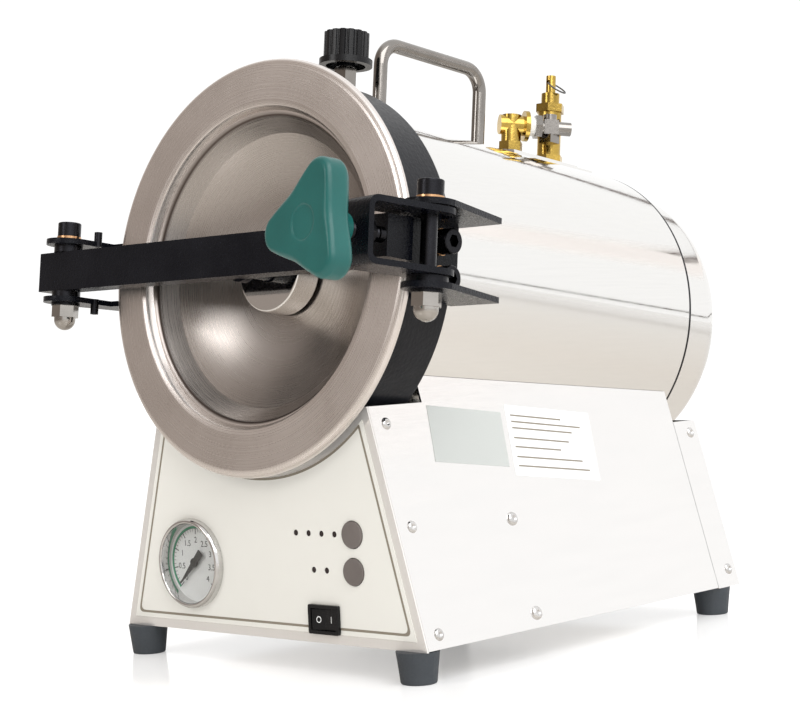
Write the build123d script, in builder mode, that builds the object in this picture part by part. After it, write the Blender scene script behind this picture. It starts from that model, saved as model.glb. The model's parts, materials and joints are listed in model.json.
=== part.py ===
from build123d import *
from math import cos, radians, sin, sqrt
import os

os.makedirs("parts", exist_ok=True)

# Benchtop autoclave.  Millimetres, +Z up.  The base stands on Z = 0, the door faces -Y and the
# chamber lies along Y, tilted so that condensate runs to the back.
# Chamber coordinates are (x, v, w): v runs back along the chamber axis, w stands square to it.

# ---- driving dimensions -------------------------------------------------------------------
front = -116.0            # outer face of the front panel, along Y
tilt = 7.19               # chamber tilt, degrees
axis_height = 210.2       # chamber axis where it passes the front panel's face

base_bottom = 16.0        # height of the base pan above the bench
base_half_width = 112.4   # outer half width of the base at its bottom
side_slope = 0.28         # how far a side wall leans in for each millimetre it rises
notch_height = 136.0      # top of the front corners
notch_depth = 41.3        # from the front panel back to the taller part of the side wall
side_length = 254.9       # the main side wall ends here
base_length = 277.3       # back face of the rear cover
rear_cover_height = 113.0
sheet = 1.2               # sheet steel of the base

door_radius = 110.5
door_face = 0.2           # v of the rim's front face
door_back = 4.6
dish_radius = 84.3        # where the dish meets the step inside the rim
dish_depth = 28.0
boss_radius = 22.5
boss_face = 13.0
collar_radius = 102.8
collar_front = 4.9
collar_back = 42.9
collar_wall = 3.5
shell_radius = 92.4
shell_front = 43.3
shell_back = 270.5
shell_wall = 1.0
cap_radius = 86.2
cap_front = 273.5
cap_edge = 304.0
cap_dome = 317.0
chamber_radius = 80.0     # inside
chamber_wall = 2.0
chamber_end = 262.0       # where the dished end begins
mouth_radius = 84.6

pivot_x = 136.9           # both M8 pivot bolts
pivot_v = -13.84
bolt_radius = 4.0         # M8
head_radius = 6.5
head_height = 8.0
nut_across_flats = 13.0
bar_left = -154.1
bar_right = 128.5
bar_front = -20.15
bar_thickness = 12.0
bar_low = -7.8
bar_high = 14.0
bracket_plate = 3.0
bracket_top = 18.3        # underside of both upper bracket plates
right_bracket_low = -18.0 # top of the right bracket's lower plate
left_bracket_low = -11.4
bracket_wall_x = 103.1    # face of the bracket's wall that lies on the collar
bracket_screw_v = 28.0
bracket_screw_heights = {1: (9.3, -9.3), -1: (10.7, -3.8)}

yoke_swing = 8.0          # the closed yoke leans this far towards the door's middle
yoke_reach = 46.0         # bolt axis to the web's outer face
yoke_width = 25.0
yoke_plate = 3.0
yoke_high = 14.5          # underside of the upper flange
yoke_low = -11.5          # top of the lower flange
yoke_middle = (yoke_high + yoke_low) / 2
screw_tip = 28.5          # bolt axis to the end of the clamp's pad
knob_gap = 4.2            # between the knob's hub and the web
knob_length = 24.0
knob_lobe = 31.0
anvil_front = -37.6       # front of the block that the clamp presses

gauge_x = -55.6
gauge_z = 52.6
gauge_radius = 24.4
switch_x = 43.9
switch_z = 28.2
button_x = 65.6
button_radius = 6.9
button_heights = (72.0, 53.3)
led_pitch = 9.23
upper_leds = [(25.2 + led_pitch * i, 71.8) for i in range(4)]
lower_leds = [(37.2 + led_pitch * i, 53.2) for i in range(2)]
led_places = upper_leds + lower_leds

handle_w = 139.2
handle_front = 92.0
handle_back = 178.0
handle_rod = 4.0
handle_bend = 13.0
release_v = 64.0          # exhaust valve with the fluted knob
elbow_v = 209.0
safety_v = 246.0
outlet_turn = 52.8        # the outlet points this far round from +X towards the back, degrees

# ---- frames -------------------------------------------------------------------------------
up_y = sin(radians(tilt))
up_z = cos(radians(tilt))
along = (0, up_z, -up_y)
upward = (0, up_y, up_z)


def point(x, v, w):
    return (x, front + v * up_z + w * up_y, axis_height - v * up_y + w * up_z)


def upright(x, v, w):
    """Plane square to the w direction, local axes (x, v)."""
    return Plane(origin=point(x, v, w), x_dir=(1, 0, 0), z_dir=upward)


def facing(x, v, w):
    """Plane square to the chamber axis, looking at the door, local axes (x, w)."""
    return Plane(origin=point(x, v, w), x_dir=(1, 0, 0), z_dir=(0, -up_z, up_y))


def sideways(x, v, w):
    """Plane square to X, local axes (v, w)."""
    return Plane(origin=point(x, v, w), x_dir=along, z_dir=(1, 0, 0))


def panel(x, z, out=0.0):
    """Plane on the front panel, local axes (x, z)."""
    return Plane(origin=(x, front - out, z), x_dir=(1, 0, 0), z_dir=(0, -1, 0))


def panel_section(x, z):
    """Section plane through a round piece on the front panel, local axes (radius, depth)."""
    return Plane(origin=(x, front, z), x_dir=(1, 0, 0), z_dir=(0, 0, 1))


chamber_section = sideways(0, 0, 0)
chamber_axis = Axis(point(0, 0, 0), along)
slope_length = sqrt(1 + side_slope ** 2)


def wall_plane(inset=0.0):
    """Outer face of the right side wall, local axes (Y from the front panel, up the slope)."""
    outward = (1 / slope_length, 0, side_slope / slope_length)
    origin = (base_half_width - inset * outward[0], front, base_bottom - inset * outward[2])
    return Plane(origin=origin, x_dir=(0, 1, 0), z_dir=outward)


def slant(z):
    """Length up the sloping wall at height z."""
    return (z - base_bottom) * slope_length


def half_width(z):
    return base_half_width - side_slope * (z - base_bottom)


yoke_along = (-sin(radians(yoke_swing)), cos(radians(yoke_swing)))


def yoke_plane(reach, w):
    """Plane across the clamp's screw, looking along it towards the front."""
    x = pivot_x + yoke_along[0] * reach
    v = pivot_v - yoke_along[1] * reach
    across = (yoke_along[1], yoke_along[0] * up_z, -yoke_along[0] * up_y)
    ahead = (yoke_along[0], -yoke_along[1] * up_z, yoke_along[1] * up_y)
    return Plane(origin=point(x, v, w), x_dir=across, z_dir=ahead)


def yoke_deck(w):
    """Plane square to w with its origin on the right bolt, local axes (across, towards the bolt)."""
    across = (yoke_along[1], yoke_along[0] * up_z, -yoke_along[0] * up_y)
    return Plane(origin=point(pivot_x, pivot_v, w), x_dir=across, z_dir=upward)


def save(piece, name):
    piece.label = name
    export_step(piece, f"parts/{name}.step")


# ---- base ---------------------------------------------------------------------------------
pan_half = base_half_width - 3.0
pan_back = base_length - 2 * sheet

with BuildPart() as base_pan:
    with BuildSketch(Plane.XY.offset(base_bottom)):
        with Locations((0, front + (sheet + pan_back) / 2)):
            Rectangle(2 * pan_half, pan_back - sheet)
    extrude(amount=sheet)
    pan_top = base_pan.faces().sort_by(Axis.Z)[-1]
    with BuildSketch(pan_top):
        with GridLocations(0, pan_back - sheet - 1.5, 1, 2):
            Rectangle(2 * pan_half - 10, 1.5)
    extrude(amount=3)
    with BuildSketch(Plane.XY.offset(base_bottom)):
        with Locations((0, front + 150)):
            with GridLocations(14, 0, 9, 1):
                SlotOverall(60, 4, rotation=90)
    extrude(amount=sheet, mode=Mode.SUBTRACT)
save(base_pan.part, "base_pan")

collar_gap = collar_radius + 2.7
overlay_inset = 5.0
overlay_depth = 0.3


def front_outline(inset, arc_radius):
    """Front panel's outline: a trapezoid whose top edge is bitten by the collar's arc."""
    low = base_bottom + inset
    high = notch_height - inset
    with BuildSketch(mode=Mode.PRIVATE) as outline:
        with BuildLine():
            Polyline(
                (-half_width(low) + inset, low),
                (half_width(low) - inset, low),
                (half_width(high) - inset, high),
                (-half_width(high) + inset, high),
                close=True,
            )
        make_face()
        with Locations((0, axis_height)):
            Circle(arc_radius, mode=Mode.SUBTRACT)
    return outline.sketch_local


panel_outline = front_outline(0, collar_gap)
overlay_outline = front_outline(overlay_inset, collar_gap + overlay_inset)

with BuildPart() as front_panel:
    with BuildSketch(panel(0, 0)):
        add(panel_outline)
        with Locations((gauge_x, gauge_z)):
            Circle(22.7, mode=Mode.SUBTRACT)
        with Locations((switch_x, switch_z)):
            Rectangle(19.4, 13.2, mode=Mode.SUBTRACT)
        with Locations(*[(button_x, z) for z in button_heights]):
            Circle(button_radius + 0.3, mode=Mode.SUBTRACT)
        with Locations(*led_places):
            Circle(1.6, mode=Mode.SUBTRACT)
    extrude(amount=-sheet)
    with BuildSketch(wall_plane(sheet)):
        with Locations((9.6, slant(notch_height - 6) / 2 + 2)):
            Rectangle(16.8, slant(notch_height - 6) - 4)
    lip = extrude(amount=-sheet)
    mirror(lip, about=Plane.YZ)
    with BuildSketch(facing(0, -20, 0)):
        Circle(collar_gap)
    extrude(amount=-100, mode=Mode.SUBTRACT)
save(front_panel.part, "front_panel")

with BuildPart() as front_overlay:
    with BuildSketch(panel(0, 0)):
        add(overlay_outline)
        with Locations((gauge_x, gauge_z)):
            Circle(22.7, mode=Mode.SUBTRACT)
        with Locations((switch_x, switch_z)):
            Rectangle(19.4, 13.2, mode=Mode.SUBTRACT)
        with Locations(*[(button_x, z) for z in button_heights]):
            Circle(button_radius + 0.3, mode=Mode.SUBTRACT)
        with Locations(*led_places):
            Circle(1.6, mode=Mode.SUBTRACT)
    extrude(amount=overlay_depth)
save(front_overlay.part, "front_overlay")

rivet_heights = (127.0, 75.8, 23.5)
rivet_y = 11.3
cover_rivet_y = 269.7
cover_rivet_heights = (106.0, 25.8)
screw_y = 88.0
screw_heights = (72.4, 23.9)
pin_radius = 1.6

with BuildPart() as side_panel_right:
    with BuildSketch(wall_plane()):
        with BuildLine():
            Polyline(
                (sheet + 0.1, 0.5),
                (side_length, 0.5),
                (side_length, slant(134)),
                (notch_depth, slant(153)),
                (notch_depth, slant(notch_height)),
                (sheet + 0.1, slant(notch_height)),
                close=True,
            )
        make_face()
        with Locations(*[(rivet_y, slant(z)) for z in rivet_heights]):
            Circle(pin_radius, mode=Mode.SUBTRACT)
        with Locations(*[(screw_y, slant(z)) for z in screw_heights]):
            Circle(2, mode=Mode.SUBTRACT)
    extrude(amount=-sheet)
    with BuildSketch(facing(0, 0, 0)):
        Circle(shell_radius + 0.2)
    extrude(amount=-shell_back - 20, mode=Mode.SUBTRACT)
save(side_panel_right.part, "side_panel_right")

with BuildPart() as side_panel_left:
    mirror(side_panel_right.part, about=Plane.YZ)
save(side_panel_left.part, "side_panel_left")

inlet_x = -52.0
inlet_z = 52.0
fuse_places = [(-10.0, 52.0), (14.0, 52.0)]

with BuildPart() as rear_cover:
    for shrink, start, stop, mode in (
        (0, side_length + 0.3, base_length, Mode.ADD),
        (sheet * slope_length, side_length - 1, base_length - sheet, Mode.SUBTRACT),
    ):
        with BuildSketch(panel(0, 0, -stop)):
            with BuildLine():
                low = base_bottom - (1 if shrink else 0)
                high = rear_cover_height + (1 if shrink else 0)
                Polyline(
                    (-half_width(low) + shrink, low),
                    (half_width(low) - shrink, low),
                    (half_width(high) - shrink, high),
                    (-half_width(high) + shrink, high),
                    close=True,
                )
            make_face()
        extrude(amount=stop - start, mode=mode)
    with BuildSketch(facing(0, shell_back - 30, 0)):
        Circle(cap_radius + 2.5)
    extrude(amount=-80, mode=Mode.SUBTRACT)
    with BuildSketch(panel(0, 0, -base_length)):
        with Locations((inlet_x, inlet_z)):
            Rectangle(27.4, 20.0)
        with Locations(*fuse_places):
            Circle(6.4)
    extrude(amount=sheet, mode=Mode.SUBTRACT)
save(rear_cover.part, "rear_cover")

feet_places = [(x, front + y) for x in (-101.7, 101.7) for y in (4.8, 263.1)]
with BuildPart() as foot:
    with BuildSketch(Plane.XY):
        Circle(9)
    with BuildSketch(Plane.XY.offset(base_bottom)):
        Circle(11)
    loft()
    fillet(foot.faces().sort_by(Axis.Z)[0].edges(), 1)
with BuildPart() as feet:
    with Locations(*feet_places):
        add(foot.part)
save(feet.part, "feet")


def both_sides(half, name):
    with BuildPart() as pair:
        add(half)
        mirror(half, about=Plane.YZ)
    save(pair.part, name)


def wall_heads(places, head, rise, hole, shank):
    """Domed heads on the right side wall, each on its own short shank."""
    with BuildPart() as heads:
        with BuildSketch(wall_plane()):
            with Locations(*places):
                Circle(head)
        extrude(amount=rise, taper=25)
        if shank:
            with BuildSketch(wall_plane()):
                with Locations(*places):
                    Circle(hole)
            extrude(amount=-shank)
    return heads.part


with BuildPart() as side_rivets:
    add(wall_heads([(rivet_y, slant(z)) for z in rivet_heights], 3.2, 1.3, pin_radius - 0.05, sheet))
    add(wall_heads([(cover_rivet_y, slant(z)) for z in cover_rivet_heights], 3.2, 1.3, 0, 0))
both_sides(side_rivets.part, "rivets")
side_screws = [(screw_y, slant(z)) for z in screw_heights]
both_sides(wall_heads(side_screws, 3.6, 1.8, 1.9, 6.0), "side_screws")

label_depth = 0.2
with BuildPart() as side_labels:
    with BuildSketch(wall_plane()):
        with Locations((70.5, slant(117))):
            RectangleRounded(57, 30, 1)
        with Locations((138, slant(108.5))):
            RectangleRounded(71, 39, 1)
    extrude(amount=label_depth)
save(side_labels.part, "side_labels")

# ---- chamber, shell and collar ------------------------------------------------------------
rod_hole = handle_rod + 0.1

with BuildPart() as outer_shell:
    with BuildSketch(facing(0, shell_front, 0)):
        Circle(shell_radius)
        Circle(shell_radius - shell_wall, mode=Mode.SUBTRACT)
    extrude(amount=shell_front - shell_back)
    with BuildSketch(upright(0, 0, 60)):
        with Locations((0, handle_front), (0, handle_back), (0, elbow_v), (0, safety_v)):
            Circle(rod_hole)
        with Locations((0, release_v)):
            Rectangle(8.8, 8.8)
    extrude(amount=50, mode=Mode.SUBTRACT)
save(outer_shell.part, "outer_shell")

with BuildPart() as rear_spacer_ring:
    with BuildSketch(facing(0, shell_back, 0)):
        Circle(84.6)
        Circle(80, mode=Mode.SUBTRACT)
    extrude(amount=shell_back - cap_front)
save(rear_spacer_ring.part, "rear_spacer_ring")

with BuildPart() as rear_cap:
    with BuildSketch(facing(0, cap_front, 0)):
        Circle(cap_radius)
    extrude(amount=cap_front - cap_edge)
    with BuildSketch(facing(0, cap_edge, 0)):
        Circle(cap_radius)
    extrude(amount=cap_edge - cap_dome, taper=38)
    fillet(rear_cap.edges().filter_by(GeomType.CIRCLE).sort_by(chamber_axis)[1:], 6)
    offset(amount=-sheet, openings=rear_cap.faces().sort_by(chamber_axis)[0])
save(rear_cap.part, "rear_cap")

with BuildPart() as collar:
    with BuildSketch(chamber_section):
        with BuildLine():
            Polyline(
                (collar_front, collar_radius - collar_wall),
                (collar_front, collar_radius),
                (collar_back, collar_radius),
                (collar_back, mouth_radius + 2.5),
                (collar_back - 2.5, mouth_radius + 2.5),
                (collar_back - 2.5, collar_radius - collar_wall),
                close=True,
            )
        make_face()
    revolve(axis=chamber_axis)
    for side, heights in bracket_screw_heights.items():
        with BuildSketch(sideways(side * 80, 0, 0)):
            with Locations(*[(bracket_screw_v, w) for w in heights]):
                Circle(bolt_radius + 0.1)
        extrude(amount=side * 40, mode=Mode.SUBTRACT)
save(collar.part, "collar")

flange_back = 11.0
gasket_inner = 88.0
gasket_outer = 94.0
gasket_floor = 8.5
dome_rise = 24.0
dome_sphere = 160.0

dome_inside = chamber_end + dome_rise - chamber_wall
with BuildPart() as chamber:
    with BuildSketch(chamber_section):
        with BuildLine():
            Polyline(
                (collar_front + 0.1, mouth_radius),
                (collar_front + 0.1, gasket_inner),
                (gasket_floor, gasket_inner),
                (gasket_floor, gasket_outer),
                (collar_front + 0.1, gasket_outer),
                (collar_front + 0.1, collar_radius - collar_wall),
                (flange_back, collar_radius - collar_wall),
                (flange_back, mouth_radius + 2.2),
                (34, mouth_radius + 2.2),
                (40, chamber_radius + chamber_wall),
                (chamber_end, chamber_radius + chamber_wall),
            )
            RadiusArc(
                (chamber_end, chamber_radius + chamber_wall),
                (chamber_end + dome_rise, 0.01),
                dome_sphere + chamber_wall,
                True,
            )
            Line((chamber_end + dome_rise, 0.01), (dome_inside, 0.01))
            RadiusArc((dome_inside, 0.01), (chamber_end, chamber_radius), -dome_sphere)
            Polyline(
                (chamber_end, chamber_radius),
                (41, chamber_radius),
                (34.6, mouth_radius),
                (collar_front + 0.1, mouth_radius),
            )
        make_face()
    revolve(axis=chamber_axis)
    with BuildSketch(facing(0, chamber_end, 0)):
        with Locations((0, 60)):
            Circle(3)
    extrude(amount=-40, mode=Mode.SUBTRACT)
save(chamber.part, "chamber")

with BuildPart() as door_gasket:
    with BuildSketch(chamber_section):
        with Locations(((collar_front + gasket_floor) / 2, (gasket_inner + gasket_outer) / 2)):
            Rectangle(gasket_floor - collar_front, gasket_outer - gasket_inner - 0.4)
    revolve(axis=chamber_axis)
save(door_gasket.part, "door_gasket")

band_front = 120.0
band_back = 190.0

with BuildPart() as insulation:
    with BuildSketch(facing(0, 46, 0)):
        Circle(shell_radius - shell_wall - 0.4)
        Circle(chamber_radius + chamber_wall + 3.2, mode=Mode.SUBTRACT)
    extrude(amount=46 - shell_back + 3)
    with BuildSketch(upright(0, 0, 60)):
        with Locations((0, handle_front), (0, handle_back), (0, elbow_v), (0, safety_v)):
            Circle(rod_hole + 1)
        with Locations((0, release_v)):
            Rectangle(10, 10)
    extrude(amount=50, mode=Mode.SUBTRACT)
save(insulation.part, "insulation")

with BuildPart() as heater_band:
    with BuildSketch(facing(0, band_front, 0)):
        Circle(chamber_radius + chamber_wall + 3)
        Circle(chamber_radius + chamber_wall, mode=Mode.SUBTRACT)
    extrude(amount=band_front - band_back)
save(heater_band.part, "heater_band")

tray_length = 215.0
tray_front = 38.0
tray_width = 112.0
tray_depth = 11.0
rack_half = 61.0
tray_levels = (-30.0, 8.0)

with BuildPart() as tray_rack:
    with BuildSketch(facing(0, tray_front - 2, 0)):
        with BuildLine():
            Polyline(
                (-rack_half, 26),
                (-rack_half, -50.5),
                (-56, -56.0),
                (56, -56.0),
                (rack_half, -50.5),
                (rack_half, 26),
            )
            offset(amount=0.6, side=Side.BOTH)
        make_face()
        for level in tray_levels:
            with Locations((-rack_half + 2.6, level - 0.5), (rack_half - 2.6, level - 0.5)):
                Rectangle(5.2, 1)
    extrude(amount=-tray_length - 4)
    with BuildSketch(upright(0, tray_front + tray_length / 2, -60)):
        with GridLocations(28, 50, 4, 4):
            SlotOverall(34, 12, rotation=90)
    extrude(amount=10, mode=Mode.SUBTRACT)
save(tray_rack.part, "tray_rack")

with BuildPart() as tray:
    with BuildSketch(upright(0, tray_front + tray_length / 2, 0)):
        RectangleRounded(tray_width, tray_length, 10)
    extrude(amount=tray_depth)
    with BuildSketch(upright(0, tray_front + tray_length / 2, 1)):
        RectangleRounded(tray_width - 2, tray_length - 2, 9)
    extrude(amount=tray_depth, mode=Mode.SUBTRACT)
    with BuildSketch(upright(0, tray_front + tray_length / 2, 0)):
        with GridLocations(14, 18, 7, 11):
            Circle(2)
    extrude(amount=3, mode=Mode.SUBTRACT)

with BuildPart() as trays:
    with Locations(*[Location(tuple(c * (level + 0.05) for c in upward)) for level in tray_levels]):
        add(tray.part)
save(trays.part, "trays")

with BuildPart() as temperature_sensor:
    with BuildSketch(facing(0, chamber_end + 10, 0)):
        with Locations((0, 60)):
            Circle(3)
    extrude(amount=-32)
    with BuildSketch(facing(0, chamber_end + 30, 0)):
        with Locations((0, 60)):
            RegularPolygon(6, 6)
    extrude(amount=-6)
save(temperature_sensor.part, "temperature_sensor")

# ---- front panel fittings -----------------------------------------------------------------
gauge_front = -5.0
gauge_axis = Axis((gauge_x, front, gauge_z), (0, 1, 0))
gauge_section = panel_section(gauge_x, gauge_z)

with BuildPart() as gauge_case:
    with BuildSketch(gauge_section):
        with BuildLine():
            Polyline(
                (0, 24),
                (22.4, 24),
                (22.4, -overlay_depth),
                (gauge_radius, -overlay_depth),
                (gauge_radius, -3.6),
                (23.4, gauge_front),
                (21.6, gauge_front),
                (21.6, 4),
                (20.6, 4),
                (20.6, 22.6),
                (0, 22.6),
                close=True,
            )
        make_face()
    revolve(axis=gauge_axis)
    with BuildSketch(panel(gauge_x, gauge_z, -24)):
        RegularPolygon(7.5, 6)
    extrude(amount=-8)
    with BuildSketch(panel(gauge_x, gauge_z, -32)):
        Circle(5)
    extrude(amount=-10)
save(gauge_case.part, "gauge_case")

with BuildPart() as gauge_dial:
    with BuildSketch(panel(gauge_x, gauge_z, -3.0)):
        Circle(21.5)
        Circle(1.2, mode=Mode.SUBTRACT)
    extrude(amount=-1)
save(gauge_dial.part, "gauge_dial")

with BuildPart() as gauge_lens:
    with BuildSketch(panel(gauge_x, gauge_z, 2.4)):
        Circle(21.5)
    extrude(amount=1.6)
save(gauge_lens.part, "gauge_lens")

pointer_rest = 225.0
with BuildPart() as gauge_pointer:
    with BuildSketch(panel(gauge_x, gauge_z, -1.4)):
        with BuildLine():
            tip_angle = radians(pointer_rest)
            side = (-sin(tip_angle), cos(tip_angle))
            ahead = (cos(tip_angle), sin(tip_angle))
            Polyline(
                *[
                    (ahead[0] * reach + side[0] * off, ahead[1] * reach + side[1] * off)
                    for reach, off in ((16.5, 0.2), (-8, 2.2), (-8, -2.2), (16.5, -0.2))
                ],
                close=True,
            )
        make_face()
        Circle(2.6)
    extrude(amount=0.8)
    with BuildSketch(panel(gauge_x, gauge_z, -3.9)):
        Circle(1.1)
    extrude(amount=3.5)
save(gauge_pointer.part, "gauge_pointer")

rocker_height = 10.4
rocker_pivot_depth = 4.0

with BuildPart() as switch_housing:
    with BuildSketch(panel(switch_x, switch_z, overlay_depth)):
        RectangleRounded(21.4, 15, 1)
    extrude(amount=1.8)
    with BuildSketch(panel(switch_x, switch_z, overlay_depth)):
        Rectangle(19, 12.8)
    extrude(amount=-20)
    with BuildSketch(panel(switch_x, switch_z, overlay_depth + 1.8)):
        Rectangle(17.4, 11.2)
    extrude(amount=-16, mode=Mode.SUBTRACT)
    with BuildSketch(panel(switch_x, switch_z, overlay_depth - 20)):
        with GridLocations(6, 5, 2, 1):
            Rectangle(0.8, 4.8)
    extrude(amount=-8)
save(switch_housing.part, "switch_housing")

rocker_tilt = 8.0
with BuildPart() as rocker:
    with BuildSketch(Plane(origin=(switch_x, front, switch_z - rocker_height / 2), z_dir=(0, 0, 1))):
        with BuildLine():
            rock = radians(rocker_tilt)
            corners = ((-7.8, -2.0), (0, -0.8), (7.8, -2.0), (7.4, 3.4), (0, 6.5), (-7.4, 3.4))
            Polyline(
                *[
                    (
                        x * cos(rock) - (y - rocker_pivot_depth) * sin(rock),
                        x * sin(rock) + (y - rocker_pivot_depth) * cos(rock) + rocker_pivot_depth,
                    )
                    for x, y in corners
                ],
                close=True,
            )
        make_face()
    extrude(amount=rocker_height)
save(rocker.part, "rocker")

for button_height, button_name in zip(button_heights, ("start_button", "select_button")):
    with BuildPart() as button:
        with BuildSketch(panel(button_x, button_height, -8)):
            Circle(button_radius)
        extrude(amount=9.4)
        fillet(button.faces().sort_by(Axis.Y)[0].edges(), 0.5)
    save(button.part, button_name)

with BuildPart() as leds:
    for led_x, led_z in led_places:
        with BuildSketch(panel(led_x, led_z, -9.5)):
            Circle(1.9)
        extrude(amount=6.0)
        with BuildSketch(panel(led_x, led_z, -3.5)):
            Circle(1.5)
        extrude(amount=3.6)
save(leds.part, "leds")

board_depth = 10.5
with BuildPart() as control_board:
    with BuildSketch(panel(45, 62, -board_depth - 1.6)):
        Rectangle(62, 36)
    extrude(amount=1.6)
    with BuildSketch(panel(45, 62, -board_depth - 1.6)):
        with Locations((-18, 0), (10, 6)):
            Rectangle(14, 16)
    extrude(amount=-9)
    with BuildSketch(panel(45, 62, -board_depth)):
        with Locations((-22, -12)):
            Rectangle(12, 6)
    extrude(amount=1.5)
save(control_board.part, "control_board")

# ---- rear fittings ------------------------------------------------------------------------
with BuildPart() as power_inlet:
    with BuildSketch(panel(inlet_x, inlet_z, -base_length)):
        RectangleRounded(48, 23, 3)
    extrude(amount=-2.4)
    with BuildSketch(panel(inlet_x, inlet_z, -base_length)):
        Rectangle(27, 19.6)
    extrude(amount=18)
    with BuildSketch(panel(inlet_x, inlet_z, -base_length - 2.4)):
        RectangleRounded(24, 16.4, 3)
    extrude(amount=16, mode=Mode.SUBTRACT)
    with BuildSketch(panel(inlet_x, inlet_z, -base_length + 13.6)):
        with Locations((-7, -1.5), (7, -1.5), (0, 3.5)):
            Rectangle(2, 4)
    extrude(amount=-12)
save(power_inlet.part, "power_inlet")

with BuildPart() as fuse_holders:
    with BuildSketch(panel(0, 0, -base_length)):
        with Locations(*fuse_places):
            Circle(9)
    extrude(amount=-3)
    with BuildSketch(panel(0, 0, -base_length - 3)):
        with Locations(*fuse_places):
            Circle(6)
    extrude(amount=-6)
    with BuildSketch(panel(0, 0, -base_length - 9)):
        with Locations(*fuse_places):
            Rectangle(8, 1.2)
    extrude(amount=1, mode=Mode.SUBTRACT)
    with BuildSketch(panel(0, 0, -base_length)):
        with Locations(*fuse_places):
            Circle(6.3)
    extrude(amount=20)
save(fuse_holders.part, "fuse_holders")

# ---- pivot brackets -----------------------------------------------------------------------
bracket_rear = 42.6
bracket_tip_x = 134.0
eye_radius = 12.5


def bracket_plate_outline():
    """Horizontal plate of the right bracket: an eye round the bolt, widening back to the collar."""
    with BuildSketch(mode=Mode.PRIVATE) as outline:
        with BuildLine():
            Polyline(
                (pivot_x - eye_radius, pivot_v),
                (pivot_x - eye_radius, 8.5),
                (bracket_wall_x + 12, 8.5),
                (bracket_wall_x, 14),
                (bracket_wall_x, bracket_rear),
                (bracket_tip_x, bracket_rear),
                (pivot_x + eye_radius - 0.3, pivot_v + 4),
                (pivot_x + eye_radius, pivot_v),
                close=True,
            )
        make_face()
        with Locations((pivot_x, pivot_v)):
            Circle(eye_radius)
            Circle(bolt_radius + 0.05, mode=Mode.SUBTRACT)
    return outline.sketch_local


plate_outline = bracket_plate_outline()


def bracket(low_top, screw_heights):
    """Two plates joined by a wall that is screwed to the collar's side."""
    with BuildPart() as body:
        for height in (bracket_top, low_top - bracket_plate):
            with BuildSketch(upright(0, 0, height)):
                add(plate_outline)
            extrude(amount=bracket_plate)
        middle = (bracket_top + low_top) / 2
        height = bracket_top - low_top + 2 * bracket_plate
        with BuildSketch(sideways(bracket_wall_x, 0, 0)):
            with Locations(((14 + bracket_rear) / 2, middle)):
                Rectangle(bracket_rear - 14, height)
            with Locations(*[(bracket_screw_v, w) for w in screw_heights]):
                Circle(bolt_radius + 0.1, mode=Mode.SUBTRACT)
        extrude(amount=bracket_plate)
    return body.part


with BuildPart() as right_bracket:
    add(bracket(right_bracket_low, bracket_screw_heights[1]))
save(right_bracket.part, "right_bracket")

pin_x = -125.7            # the stop pin stands behind and inside the left pivot bolt
pin_v = -2.0
stop_pin_radius = 2.25
pin_length = 8.5
with BuildPart() as left_bracket:
    mirror(bracket(left_bracket_low, bracket_screw_heights[-1]), about=Plane.YZ)
    with BuildSketch(upright(pin_x, pin_v, -30)):
        Circle(stop_pin_radius)
    extrude(amount=60, mode=Mode.SUBTRACT)
save(left_bracket.part, "left_bracket")

with BuildPart() as spring_pins:
    for start in (bracket_top, left_bracket_low - pin_length):
        with BuildSketch(upright(pin_x, pin_v, start)):
            Circle(stop_pin_radius)
            Circle(1.2, mode=Mode.SUBTRACT)
            with Locations((0, -1.6)):
                Rectangle(0.7, 2.4, mode=Mode.SUBTRACT)
        extrude(amount=pin_length)
save(spring_pins.part, "spring_pins")

washer_height = 2.0
wall_outside = bracket_wall_x + bracket_plate

socket_radius = 3.0
socket_depth = 4.0
shank_length = 14.0
screw_spots = [(side, w) for side, heights in bracket_screw_heights.items() for w in heights]

with BuildPart() as bracket_screws:
    for side, w in screw_spots:
        base = side * (wall_outside + washer_height)
        with BuildSketch(sideways(base, bracket_screw_v, w)):
            Circle(head_radius)
        extrude(amount=side * head_height)
        with BuildSketch(sideways(base, bracket_screw_v, w)):
            Circle(bolt_radius)
        extrude(amount=-side * shank_length)
    fillet(bracket_screws.faces().sort_by(Axis.X)[-2:].edges(), 0.8)
    fillet(bracket_screws.faces().sort_by(Axis.X)[:2].edges(), 0.8)
    for side, w in screw_spots:
        with BuildSketch(sideways(side * (wall_outside + washer_height + head_height), bracket_screw_v, w)):
            RegularPolygon(socket_radius, 6, major_radius=False)
        extrude(amount=-side * socket_depth, mode=Mode.SUBTRACT)
save(bracket_screws.part, "bracket_screws")

washer_radius = 6.8
with BuildPart() as spring_washers:
    for side, w in screw_spots:
        with BuildSketch(sideways(side * wall_outside, bracket_screw_v, w)):
            Circle(washer_radius)
            Circle(bolt_radius + 0.1, mode=Mode.SUBTRACT)
        extrude(amount=side * washer_height)
    for side in (1, -1):
        with BuildSketch(upright(side * pivot_x, pivot_v, bracket_top + bracket_plate)):
            Circle(washer_radius)
            Circle(bolt_radius + 0.1, mode=Mode.SUBTRACT)
        extrude(amount=washer_height)
save(spring_washers.part, "spring_washers")

nut_height = 6.5


def pivot_bolt(side, low_face):
    """M8 socket head screw, dropped through both plates of a bracket."""
    head_base = bracket_top + bracket_plate + washer_height
    with BuildPart() as bolt:
        with BuildSketch(upright(side * pivot_x, pivot_v, head_base)):
            Circle(head_radius)
        extrude(amount=head_height)
        fillet(bolt.faces().sort_by(Axis.Z)[-1].edges(), 0.8)
        with BuildSketch(upright(side * pivot_x, pivot_v, head_base + head_height)):
            RegularPolygon(3, 6, major_radius=False)
        extrude(amount=-4, mode=Mode.SUBTRACT)
        with BuildSketch(upright(side * pivot_x, pivot_v, head_base)):
            Circle(bolt_radius)
        extrude(amount=low_face - 10 - head_base)
    return bolt.part


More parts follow.
